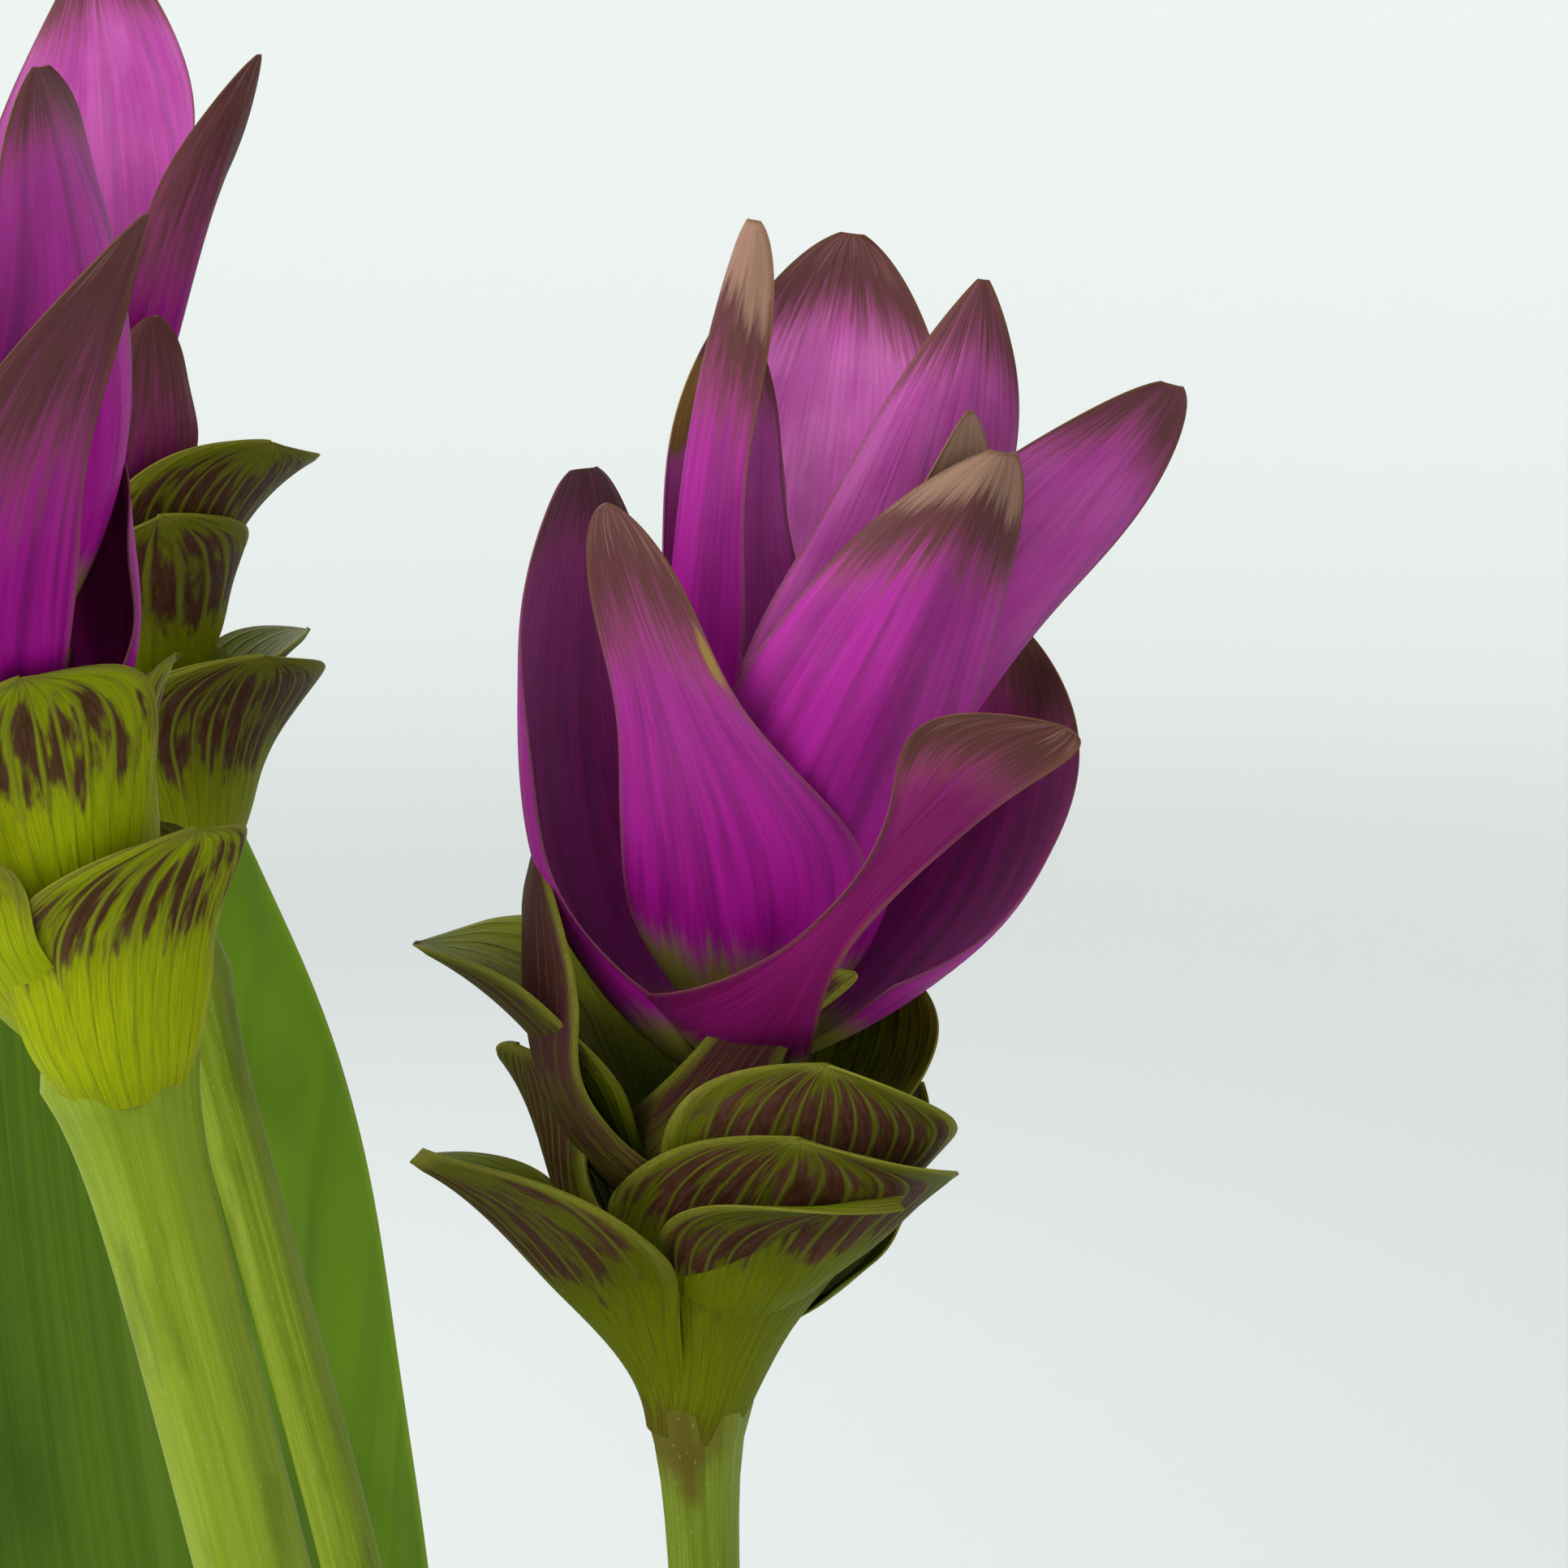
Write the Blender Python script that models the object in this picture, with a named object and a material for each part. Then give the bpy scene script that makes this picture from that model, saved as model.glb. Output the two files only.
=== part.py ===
"""Potted curcuma: three flowering shoots in a nursery pot.

Metres, +Z up.  The origin is the middle of the pot's underside, and -Y is the
front.  Every shoot is a scape (flower stem) that two leaves clasp at its foot, and
carries a spike of green pouch bracts below pink coma bracts.
"""

import math

import bmesh
import bpy
from mathutils import Vector

# ---------------------------------------------------------------- driving sizes
GAP = 0.0003                  # clearance between pieces that touch

POT_HEIGHT = 0.120
POT_TOP_RADIUS = 0.066        # outside, at the top edge but for the rim band
POT_BASE_RADIUS = 0.050       # outside, at the underside
POT_WALL = 0.0016
POT_FLOOR = 0.0022
POT_RIM_DEPTH = 0.013         # height of the rim band
POT_RIM_PROUD = 0.0035        # how far the rim band stands out
POT_SHARP_ANGLE = math.radians(35)
POT_SIDES = 40
DRAIN_HOLES = 6
DRAIN_RADIUS = 0.0045
DRAIN_RING_SHARE = 0.68       # ring of drain holes against the pot's base radius
DRAIN_TURN = math.radians(4.5)    # first drain hole, from +X
CUTTER_SIDES = 20

SOIL_DROP = 0.014             # soil surface below the pot's top edge
SOIL_DOME = 0.003             # rise of the soil towards the middle
DOME_RINGS = (0.85, 0.6, 0.3) # rings of the dome, as shares of the soil's radius
ROOT_DEPTH = 0.022            # how deep the shoots stand in the soil

FOOT_SWELL = 1.12             # a scape's foot against its upper part
TIP_SHARE = 0.45              # a scape's tip against the same
SPIKE_STEPS = 6               # points of a scape inside its spike
ROUTE_STEPS = 6               # points of a scape between two points of its route
STEM_RESOLUTION = 2           # bevel resolution of the round stems

LEAF_THICKNESS = 0.0010
LEAF_WRAP = math.radians(100) # how far a leaf's sheath wraps to each side
LEAF_NECK = 0.25              # share of the blade over which it spreads from the sheath
LEAF_CHANNEL = 0.8            # radius of the blade's channel against its width
LEAF_COLUMNS = 7
LEAF_SHEATH_ROWS = 3
LEAF_BLADE_ROWS = 12

BRACT_THICKNESS = 0.0005
BRACT_COLUMNS = 5             # points across a bract
BRACT_ROWS = 7                # points along a bract
BRACT_FOOT = 0.14             # where a bract's outline starts on its half sine wave
BRACT_BLUNT = 0.96            # share of that outline that is used
GREEN_SPREAD = math.radians(57)   # most that a green bract wraps to each side
PINK_SPREAD = math.radians(57)

SOIL_TOP = POT_HEIGHT - SOIL_DROP
SHOOT_FOOT = SOIL_TOP - ROOT_DEPTH + GAP

# ---------------------------------------------------------------- the shoots
# Letter, route of the scape (x, y and height above the soil's edge, up to where
# the spike starts), radius, direction of the spike and its length.
SHOOTS = (
    ("a", ((0.0200, -0.0040, 0.0), (0.0225, -0.0080, 0.074), (0.0255, -0.0110, 0.154),
           (0.0240, -0.0120, 0.217)), 0.0032, (0.14, 0.0, 1.0), 0.060),
    ("b", ((0.0000, -0.0300, 0.0), (0.0030, -0.0350, 0.074), (0.0010, -0.0450, 0.154),
           (-0.0115, -0.0500, 0.219), (-0.0203, -0.0500, 0.258)),
     0.0045, (-0.25, 0.0, 1.0), 0.066),
    ("c", ((-0.0040, 0.0220, 0.0), (-0.0020, 0.0210, 0.074), (-0.0040, 0.0200, 0.134),
           (-0.0106, 0.0200, 0.180), (-0.0276, 0.0250, 0.248)),
     0.0030, (-0.20, 0.0, 1.0), 0.066),
)

# Shoot, number, layer (0 is the inner leaf), compass angle, height of the sheath,
# then the blade's rise, reach, width, droop and arch.  Metres and degrees.
LEAVES = (
    ("a", 1, 0, -70, 0.045, 0.115, 0.070, 0.050, 0.024, 1.7),
    ("a", 2, 1, 20, 0.018, 0.135, 0.085, 0.052, 0.020, 1.7),
    ("b", 1, 0, 190, 0.050, 0.135, 0.065, 0.052, 0.020, 1.7),
    ("b", 2, 1, -125, 0.020, 0.125, 0.065, 0.054, 0.022, 1.7),
    ("c", 1, 0, 140, 0.050, 0.224, 0.046, 0.070, 0.0, 0.8),
    ("c", 2, 1, 75, 0.020, 0.130, 0.060, 0.054, 0.016, 1.7),
)

# Each bract: compass angle (0 = +X, -90 = the front), height on the rachis, length,
# width, angles from the axis at base, middle and tip, turn of the tip.
# Millimetres and degrees.
GREEN = {
    "a": (
        (190, -2.0, 35, 50, (56, 46, 66), 0),
        (-50, -2.0, 30, 50, (52, 30, 54), 14),
        (70, -2.0, 33, 50, (52, 36, 60), 0),
        (130, 6.0, 31, 42, (60, 36, 50), 0),
        (-110, 6.0, 26, 42, (60, 36, 60), 0),
        (10, 6.0, 27, 42, (60, 26, 40), 0),
        (180, 12.5, 38, 44, (54, 40, 62), 0),
        (-60, 12.5, 27, 46, (60, 26, 62), 14),
        (60, 12.5, 28, 46, (60, 26, 40), 0),
        (-172, 19.0, 36, 42, (60, 32, 0), 0),
        (-52, 19.0, 27, 42, (60, 32, 56), 14),
    ),
    "b": (
        (-30, -2.0, 27, 46, (44, 28, 60), 0),
        (90, -2.0, 27, 46, (44, 28, 60), 0),
        (210, -2.0, 27, 46, (44, 28, 60), 0),
        (-90, 9.5, 28, 46, (54, 26, 50), 12),
        (30, 9.5, 28, 46, (54, 26, 50), 0),
        (150, 9.5, 28, 46, (54, 26, 50), 0),
    ),
    "c": (
        (-35, 0.0, 33, 48, (50, 24, 56), 0),
        (85, 0.0, 33, 48, (50, 24, 56), 0),
        (205, 0.0, 33, 48, (50, 24, 56), 0),
        (25, 13.0, 31, 42, (56, 22, 56), 0),
        (145, 13.0, 31, 42, (56, 22, 56), 0),
        (-95, 19.0, 28, 40, (60, 20, 40), 0),
        (-35, 27.0, 31, 42, (60, 22, 62), 14),
    ),
}
PINK = {
    "a": (
        (38, 29.5, 48, 40, (62, 30, -14), 4),
        (-72, 30.5, 46, 30, (66, 34, 34), 34),
        (152, 30.0, 61, 38, (66, 16, -6), 10),
        (-92, 33.0, 56, 28, (64, 20, -4), -50),
        (-84, 35.0, 62, 26, (58, 16, 6), 42),
        (-20, 36.5, 66, 26, (24, 20, 30), 8),
        (95, 37.5, 73, 36, (50, 12, 0), 4),
        (-28, 40.5, 66, 22, (22, 12, 4), 0),
        (165, 41.0, 60, 24, (46, 14, -2), 4),
        (205, 43.0, 65, 13, (30, 8, 0), 0),
        (140, 45.5, 52, 22, (24, 6, 0), 0),
        (-10, 47.0, 42, 10, (18, 8, 6), 6),
    ),
    "b": (
        (30, 24.0, 30, 21, (62, 20, -14), 0),
        (148, 25.0, 56, 38, (62, 20, -4), 0),
        (-72, 26.0, 48, 23, (62, 26, 24), 30),
        (-140, 29.5, 50, 34, (52, 18, -6), -6),
        (-8, 33.0, 48, 34, (44, 12, 2), 0),
        (170, 35.0, 52, 28, (40, 12, 0), 0),
        (-65, 37.0, 42, 16, (34, 12, 6), 10),
    ),
    "c": (
        (135, 36.0, 60, 38, (62, 16, -4), 0),
        (-58, 39.0, 30, 26, (68, 26, 6), 0),
        (8, 41.5, 60, 20, (38, 14, 22), -6),
        (-120, 43.0, 58, 34, (50, 16, 0), 0),
        (78, 44.0, 66, 34, (28, 12, 6), 0),
        (198, 48.0, 54, 24, (34, 10, 0), 0),
    ),
}

# ---------------------------------------------------------------- finishes
# Linear colour and roughness.
FINISHES = {
    "pot": ((0.055, 0.050, 0.047), 0.45),
    "soil": ((0.052, 0.034, 0.022), 0.95),
    "stem": ((0.22, 0.32, 0.045), 0.45),
    "leaf": ((0.11, 0.26, 0.02), 0.40),
    "green_bract": ((0.16, 0.17, 0.03), 0.50),
    "pink_bract": ((0.42, 0.05, 0.31), 0.45),
}


def finish(name):
    """The Principled material of that name, made once."""
    material = bpy.data.materials.get(name)
    if material:
        return material
    colour, roughness = FINISHES[name]
    material = bpy.data.materials.new(name)
    material.use_nodes = True
    shader = material.node_tree.nodes["Principled BSDF"]
    shader.inputs["Base Color"].default_value = (*colour, 1.0)
    shader.inputs["Roughness"].default_value = roughness
    shader.inputs["Metallic"].default_value = 0.0
    return material


# ---------------------------------------------------------------- small helpers
def object_of(name, data, finish_name):
    """A new object for a mesh or curve, shaded smooth, with its finish."""
    obj = bpy.data.objects.new(name, data)
    bpy.context.scene.collection.objects.link(obj)
    data.materials.append(finish(finish_name))
    if isinstance(data, bpy.types.Mesh):
        data.shade_smooth()
    return obj


def sheet(name, rows, thickness, finish_name):
    """A sheet through rows of points, thickened by half to each side."""
    shell = bmesh.new()
    grid = [[shell.verts.new(point) for point in row] for row in rows]
    for lower, upper in zip(grid, grid[1:]):
        for i in range(len(lower) - 1):
            shell.faces.new((lower[i], lower[i + 1], upper[i + 1], upper[i]))
    mesh = bpy.data.meshes.new(name)
    shell.to_mesh(mesh)
    shell.free()
    modifier = object_of(name, mesh, finish_name).modifiers.new("thickness", "SOLIDIFY")
    modifier.thickness = thickness
    modifier.offset = 0.0


def smooth_route(points, steps):
    """Catmull-Rom points through the route, with steps between each pair."""
    ends = [points[0] * 2 - points[1], *points, points[-1] * 2 - points[-2]]
    route = []
    for a, b, c, d in zip(ends, ends[1:], ends[2:], ends[3:]):
        for i in range(steps):
            t = i / steps
            route.append(
                0.5 * (2 * b + (c - a) * t + (2 * a - 5 * b + 4 * c - d) * t * t
                       + (3 * b - a - 3 * c + d) * t ** 3)
            )
    route.append(points[-1])
    return route


def at_height(route, height):
    """The point of a rising route at that height."""
    for low, high in zip(route, route[1:]):
        if high.z >= height:
            return low.lerp(high, (height - low.z) / (high.z - low.z))
    return route[-1]


def mix(a, b, share):
    """The value that far from a to b."""
    return a + (b - a) * share


def three_point(values, t):
    """A smooth curve through the values at t = 0, 1/2 and 1."""
    start, middle, end = values
    return (start * (1 - t) * (1 - 2 * t) + 4 * middle * t * (1 - t)
            + end * t * (2 * t - 1))


# ---------------------------------------------------------------- pot and soil
def turned(name, profile, finish_name):
    """A body turned round +Z from a profile that runs from axis to axis."""
    shell = bmesh.new()
    ring = [shell.verts.new((r, 0.0, z)) for r, z in profile]
    edges = [shell.edges.new(pair) for pair in zip(ring, ring[1:])]
    bmesh.ops.spin(shell, geom=[*ring, *edges], cent=(0, 0, 0), axis=(0, 0, 1),
                   angle=math.tau, steps=POT_SIDES, use_merge=True)
    bmesh.ops.remove_doubles(shell, verts=shell.verts, dist=1e-6)
    bmesh.ops.recalc_face_normals(shell, faces=shell.faces)
    mesh = bpy.data.meshes.new(name)
    shell.to_mesh(mesh)
    shell.free()
    return object_of(name, mesh, finish_name)


def cut_cylinder(obj, label, centre, radius, low, high):
    """Takes an upright cylinder out of the object."""
    bpy.ops.mesh.primitive_cylinder_add(
        vertices=CUTTER_SIDES, radius=radius, depth=high - low,
        location=(centre[0], centre[1], (low + high) / 2))
    cutter = bpy.context.object
    cutter.name = f"{label}_cutter"
    cutter.hide_render = True
    cutter.display_type = "WIRE"
    modifier = obj.modifiers.new(f"cut_{label}", "BOOLEAN")
    modifier.operation = "DIFFERENCE"
    modifier.solver = "EXACT"
    modifier.object = cutter


def pot_radius(height):
    """Outer radius of the pot's wall at that height, without the rim band."""
    return mix(POT_BASE_RADIUS, POT_TOP_RADIUS, height / POT_HEIGHT)


def make_pot():
    """A tapered pot with a rim band, a flat floor and drain holes."""
    rim_low = POT_HEIGHT - POT_RIM_DEPTH
    rim_radius = POT_TOP_RADIUS + POT_RIM_PROUD
    profile = [
        (0.0, 0.0),
        (POT_BASE_RADIUS, 0.0),
        (pot_radius(rim_low), rim_low),
        (rim_radius, rim_low + POT_WALL),
        (rim_radius, POT_HEIGHT),
        (POT_TOP_RADIUS - POT_WALL, POT_HEIGHT),
        (pot_radius(POT_FLOOR) - POT_WALL, POT_FLOOR),
        (0.0, POT_FLOOR),
    ]
    pot = turned("pot", profile, "pot")
    pot.data.set_sharp_from_angle(angle=POT_SHARP_ANGLE)
    ring = DRAIN_RING_SHARE * POT_BASE_RADIUS
    for i in range(DRAIN_HOLES):
        angle = DRAIN_TURN + math.tau * i / DRAIN_HOLES
        centre = (ring * math.cos(angle), ring * math.sin(angle))
        cut_cylinder(pot, f"drain_{i + 1}", centre, DRAIN_RADIUS,
                     -POT_FLOOR, 2 * POT_FLOOR)


def make_soil(shoots):
    """The potting mix: fills the pot, domed, with a socket for each shoot."""
    low = POT_FLOOR + GAP
    slack = POT_WALL + 2 * GAP
    edge = pot_radius(SOIL_TOP) - slack
    profile = [(0.0, low), (pot_radius(low) - slack, low), (edge, SOIL_TOP)]
    for share in DOME_RINGS:
        profile.append((edge * share, SOIL_TOP + SOIL_DOME * (1 - share ** 2)))
    profile.append((0.0, SOIL_TOP + SOIL_DOME))
    soil = turned("soil", profile, "soil")
    for shoot in shoots:
        cut_cylinder(soil, f"socket_{shoot.letter}", shoot.route[0], shoot.socket_radius(),
                     SOIL_TOP - ROOT_DEPTH, POT_HEIGHT)


# ---------------------------------------------------------------- shoots
class Shoot:
    """One flowering shoot: its scape, its leaves and its flower spike."""

    def __init__(self, letter, route, radius, axis, spike_length):
        self.letter = letter
        self.radius = radius
        self.axis = Vector(axis).normalized()
        self.spike_length = spike_length
        foot = route[0]
        points = [Vector((foot[0], foot[1], z)) for z in (SHOOT_FOOT, SOIL_TOP + SOIL_DOME)]
        points += [Vector((x, y, SOIL_TOP + height)) for x, y, height in route[1:]]
        self.flower_base = points[-1]
        self.route = smooth_route(points, ROUTE_STEPS)

    def rachis_radius(self, height):
        """Radius of the stem inside the spike, that far above its base."""
        share = max(0.0, min(1.0, height / self.spike_length))
        return self.radius * mix(1.0, TIP_SHARE, share)

    def stem(self):
        """Scape and rachis in one tapering round stem."""
        swelling = 2 * ROUTE_STEPS
        points = [(point, self.radius * mix(FOOT_SWELL, 1.0, min(1.0, i / swelling)))
                  for i, point in enumerate(self.route)]
        for i in range(1, SPIKE_STEPS + 1):
            height = self.spike_length * i / SPIKE_STEPS
            points.append((self.flower_base + self.axis * height,
                           self.rachis_radius(height)))
        name = f"scape_{self.letter}"
        curve = bpy.data.curves.new(name, "CURVE")
        curve.dimensions = "3D"
        curve.bevel_depth = 1.0
        curve.bevel_resolution = STEM_RESOLUTION
        curve.use_fill_caps = True
        spline = curve.splines.new("POLY")
        spline.points.add(len(points) - 1)
        for spot, (place, radius) in zip(spline.points, points):
            spot.co = (*place, 1.0)
            spot.radius = radius
        object_of(name, curve, "stem")

    def clasp_radius(self, layer):
        """Middle radius of a leaf's sheathing base: layer 0 is the inner one."""
        step = LEAF_THICKNESS + 2 * GAP
        return self.radius * FOOT_SWELL + 2 * GAP + step * layer + LEAF_THICKNESS / 2

    def socket_radius(self):
        """Radius of the hole in the soil for the whole shoot."""
        return self.clasp_radius(1) + LEAF_THICKNESS / 2 + 3 * GAP

    def leaf(self, number, layer, facing, clasp, rise, reach, width, droop, arch):
        """A leaf: a sheath round the scape, then a channelled blade.

        facing is the compass angle of the blade, clasp how far the sheath rises
        above the soil, rise and reach how far the blade goes on from there, up and
        out, and droop how far its tip hangs below that.  An arch above 1 leaves
        the blade upright at first, one below 1 turns it upright towards its tip.
        """
        outward = Vector((math.cos(facing), math.sin(facing), 0))
        radius = self.clasp_radius(layer)
        wrapped = radius * LEAF_WRAP
        top = SOIL_TOP + clasp
        grid = []
        for i in range(LEAF_SHEATH_ROWS):
            middle = at_height(self.route, mix(SHOOT_FOOT, top, i / LEAF_SHEATH_ROWS))
            grid.append(leaf_row(middle, outward, radius, wrapped, radius))
        start = at_height(self.route, top)
        for i in range(LEAF_BLADE_ROWS):
            t = i / (LEAF_BLADE_ROWS - 1)
            outline = math.sin(math.pi * (0.08 + 0.88 * t) ** 0.9)
            neck = max(0.0, 1 - t / LEAF_NECK) ** 2
            half = mix(width / 2 * outline, wrapped, neck)
            bend = mix(radius, width * LEAF_CHANNEL, min(1.0, 2.5 * t))
            middle = start + Vector((0, 0, rise * t - droop * t ** 4))
            grid.append(leaf_row(middle, outward, radius + reach * t ** arch, half, bend))
        sheet(f"leaf_{self.letter}_{number}", grid, LEAF_THICKNESS, "leaf")

    def bract(self, name, facing, height, length, width, leans, turn, finish_name,
              most_spread):
        """A spoon-shaped bract on a surface turned round the spike's axis.

        height is where it leaves the rachis, leans are its angles from the axis at
        its base, middle and tip, and turn is how far its tip turns from facing.
        """
        side = Vector((0, 1, 0)).cross(self.axis).normalized()
        away = self.axis.cross(side).normalized()
        r = self.rachis_radius(height) + GAP + BRACT_THICKNESS
        z = height
        grid = []
        step = length / (BRACT_ROWS - 1)
        for i in range(BRACT_ROWS):
            t = BRACT_BLUNT * i / (BRACT_ROWS - 1)
            half = width / 2 * math.sin(math.pi * mix(BRACT_FOOT, 1.0, t))
            spread = min(half / r, most_spread)
            row = []
            for j in range(BRACT_COLUMNS):
                across = 2 * j / (BRACT_COLUMNS - 1) - 1
                angle = facing + turn * t * t + spread * across
                row.append(self.flower_base + self.axis * z
                           + (side * math.cos(angle) + away * math.sin(angle)) * r)
            grid.append(row)
            lean = three_point(leans, (i + 0.5) / (BRACT_ROWS - 1))
            r += step * math.sin(lean)
            z += step * math.cos(lean)
        sheet(name, grid, BRACT_THICKNESS, finish_name)

    def bracts(self, kind, table, finish_name, most_spread):
        """All the bracts of one kind, from their rows of millimetres and degrees."""
        for i, (facing, height, length, width, leans, turn) in enumerate(table):
            self.bract(f"{kind}_{self.letter}_{i + 1}", math.radians(facing),
                       height / 1000, length / 1000, width / 1000,
                       [math.radians(lean) for lean in leans], math.radians(turn),
                       finish_name, most_spread)


def leaf_row(middle, outward, out, half, bend):
    """Points across a leaf: an arc of radius bend, half wide to each side.

    Its middle stands out from the given point by out.
    """
    across = Vector((-outward.y, outward.x, 0))
    row = []
    for j in range(LEAF_COLUMNS):
        angle = (2 * j / (LEAF_COLUMNS - 1) - 1) * half / bend
        row.append(middle + across * (bend * math.sin(angle))
                   + outward * (out - bend * (1 - math.cos(angle))))
    return row


def main():
    """Builds the whole plant."""
    for obj in list(bpy.data.objects):
        bpy.data.objects.remove(obj)
    shoots = {row[0]: Shoot(*row) for row in SHOOTS}
    make_pot()
    make_soil(shoots.values())
    for letter, shoot in shoots.items():
        shoot.stem()
        shoot.bracts("green", GREEN[letter], "green_bract", GREEN_SPREAD)
        shoot.bracts("coma", PINK[letter], "pink_bract", PINK_SPREAD)
    for letter, number, layer, facing, *sizes in LEAVES:
        shoots[letter].leaf(number, layer, math.radians(facing), *sizes)


main()
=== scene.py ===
"""Visual model of a potted curcuma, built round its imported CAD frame.

Three flower spikes stand on green scapes, six leaves clasp their feet, and a plain
nursery pot holds them in potting mix.  Metres, +Z up; -Y is the front.  Lengths in the
tables of bracts are millimetres, and angles are degrees.
"""

import logging  # noqa: E402
import math  # noqa: E402
from dataclasses import dataclass, field  # noqa: E402
from enum import Enum  # noqa: E402
from functools import partial  # noqa: E402

import bpy  # noqa: E402
import numpy as np  # noqa: E402
from bpy.types import Material, Node, NodeSocket, Object  # noqa: E402
from mathutils import Matrix, Vector, noise  # noqa: E402


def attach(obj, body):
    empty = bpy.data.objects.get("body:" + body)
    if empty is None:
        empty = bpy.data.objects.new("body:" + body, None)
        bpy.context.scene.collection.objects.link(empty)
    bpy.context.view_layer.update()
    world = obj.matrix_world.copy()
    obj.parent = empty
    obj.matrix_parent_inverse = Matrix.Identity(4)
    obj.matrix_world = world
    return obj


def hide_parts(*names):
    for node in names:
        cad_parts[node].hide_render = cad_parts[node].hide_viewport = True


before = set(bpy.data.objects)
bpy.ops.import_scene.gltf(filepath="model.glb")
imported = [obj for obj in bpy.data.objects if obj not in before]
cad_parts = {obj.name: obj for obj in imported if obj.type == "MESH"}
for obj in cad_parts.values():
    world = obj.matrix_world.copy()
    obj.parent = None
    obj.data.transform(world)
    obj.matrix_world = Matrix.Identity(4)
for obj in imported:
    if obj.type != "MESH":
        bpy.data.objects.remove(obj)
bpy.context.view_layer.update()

LOG = logging.getLogger("curcuma")

MM = 0.001
BODY = "root"
WEIGHT_LEVELS = 10  # steps from a thin margin to the full thickness
SEAM = 2e-6  # metres within which the ends of a wrapped lattice merge

Colour = tuple[float, float, float]
Point = tuple[float, float, float]


class Slot(Enum):
    """The record's material slots."""

    POT = "pot"
    SOIL = "soil"
    STEM = "stem"
    LEAF = "leaf"
    POUCH = "green_bract"
    COMA = "pink_bract"


# ------------------------------------------------------------------ small sums
def smooth(value: np.ndarray, low: float, high: float) -> np.ndarray:
    """Smooth step from 0 at low to 1 at high."""
    share = np.clip((value - low) / (high - low), 0.0, 1.0)
    return share * share * (3.0 - 2.0 * share)


def spline(ends: tuple, t: object) -> object:
    """The place at share t between the middle two of four evenly spaced values."""
    a, b, c, d = ends
    return 0.5 * (2 * b + (c - a) * t + (2 * a - 5 * b + 4 * c - d) * t * t
                  + (3 * b - a - 3 * c + d) * t ** 3)


def through(values: tuple[float, ...], share: np.ndarray) -> np.ndarray:
    """A smooth curve through evenly spaced values.

    Args:
        values: The values, the first at share 0 and the last at share 1.
        share: Where the curve is wanted.

    Returns:
        The curve's values there.
    """
    knots = np.array([2 * values[0] - values[1], *values, 2 * values[-1] - values[-2]], float)
    place = np.clip(share, 0.0, 1.0) * (len(values) - 1)
    first = np.minimum(place.astype(int), len(values) - 2)
    return spline(tuple(knots[first + i] for i in range(4)), place - first)


def integral(slope: np.ndarray, step: np.ndarray) -> np.ndarray:
    """Running sum of a slope by the middle of each step, starting at 0."""
    middle = 0.5 * (slope[1:] + slope[:-1])
    return np.concatenate([[0.0], np.cumsum(middle * step)])


# ------------------------------------------------------------------ mesh making
def choose(*chosen: Object) -> None:
    """Leaves object mode with only those objects selected, the first one active."""
    if bpy.context.mode != "OBJECT":
        bpy.ops.object.mode_set(mode="OBJECT")
    bpy.ops.object.select_all(action="DESELECT")
    for obj in chosen:
        obj.select_set(True)
    if chosen:
        bpy.context.view_layer.objects.active = chosen[0]


def newest(name: str) -> Object:
    """Names the object that an operator has just added, and returns it."""
    obj = bpy.context.object
    obj.name = name
    obj.data.name = name
    return obj


def disc(name: str, sides: int, radius: float) -> Object:
    """A flat disc with that many sides, left in edit mode with all of it selected."""
    choose()
    bpy.ops.mesh.primitive_circle_add(vertices=sides, radius=radius, fill_type="NGON")
    obj = newest(name)
    edit_all()
    return obj


def edit_all() -> None:
    """Enters edit mode with everything selected."""
    bpy.ops.object.mode_set(mode="EDIT")
    bpy.ops.mesh.select_all(action="SELECT")


def finish_edit(inside: bool = False) -> None:
    """Turns all faces out, or in, and leaves edit mode."""
    bpy.ops.mesh.select_all(action="SELECT")
    bpy.ops.mesh.normals_make_consistent(inside=inside)
    bpy.ops.object.mode_set(mode="OBJECT")


def draw_up(radius: float, rings: list[tuple[float, float]]) -> None:
    """Extrudes the selected disc of that radius from height 0 through rings.

    Args:
        radius: The disc's radius.
        rings: Radius and height of each ring.
    """
    height = 0.0
    for next_radius, next_height in rings:
        bpy.ops.mesh.extrude_region_move(
            TRANSFORM_OT_translate={"value": (0, 0, next_height - height)})
        share = next_radius / radius
        bpy.ops.transform.resize(value=(share, share, 1.0), center_override=(0, 0, next_height))
        radius, height = next_radius, next_height


def set_float(obj: Object, name: str, values: np.ndarray) -> None:
    """Stores one number per vertex under that name."""
    layer = obj.data.attributes.get(name) or obj.data.attributes.new(name, "FLOAT", "POINT")
    layer.data.foreach_set("value", np.ascontiguousarray(values, np.float32).ravel())


def get_float(obj: Object, name: str) -> np.ndarray:
    """The numbers per vertex stored under that name."""
    values = np.empty(len(obj.data.vertices), np.float32)
    obj.data.attributes[name].data.foreach_get("value", values)
    return values


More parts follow.
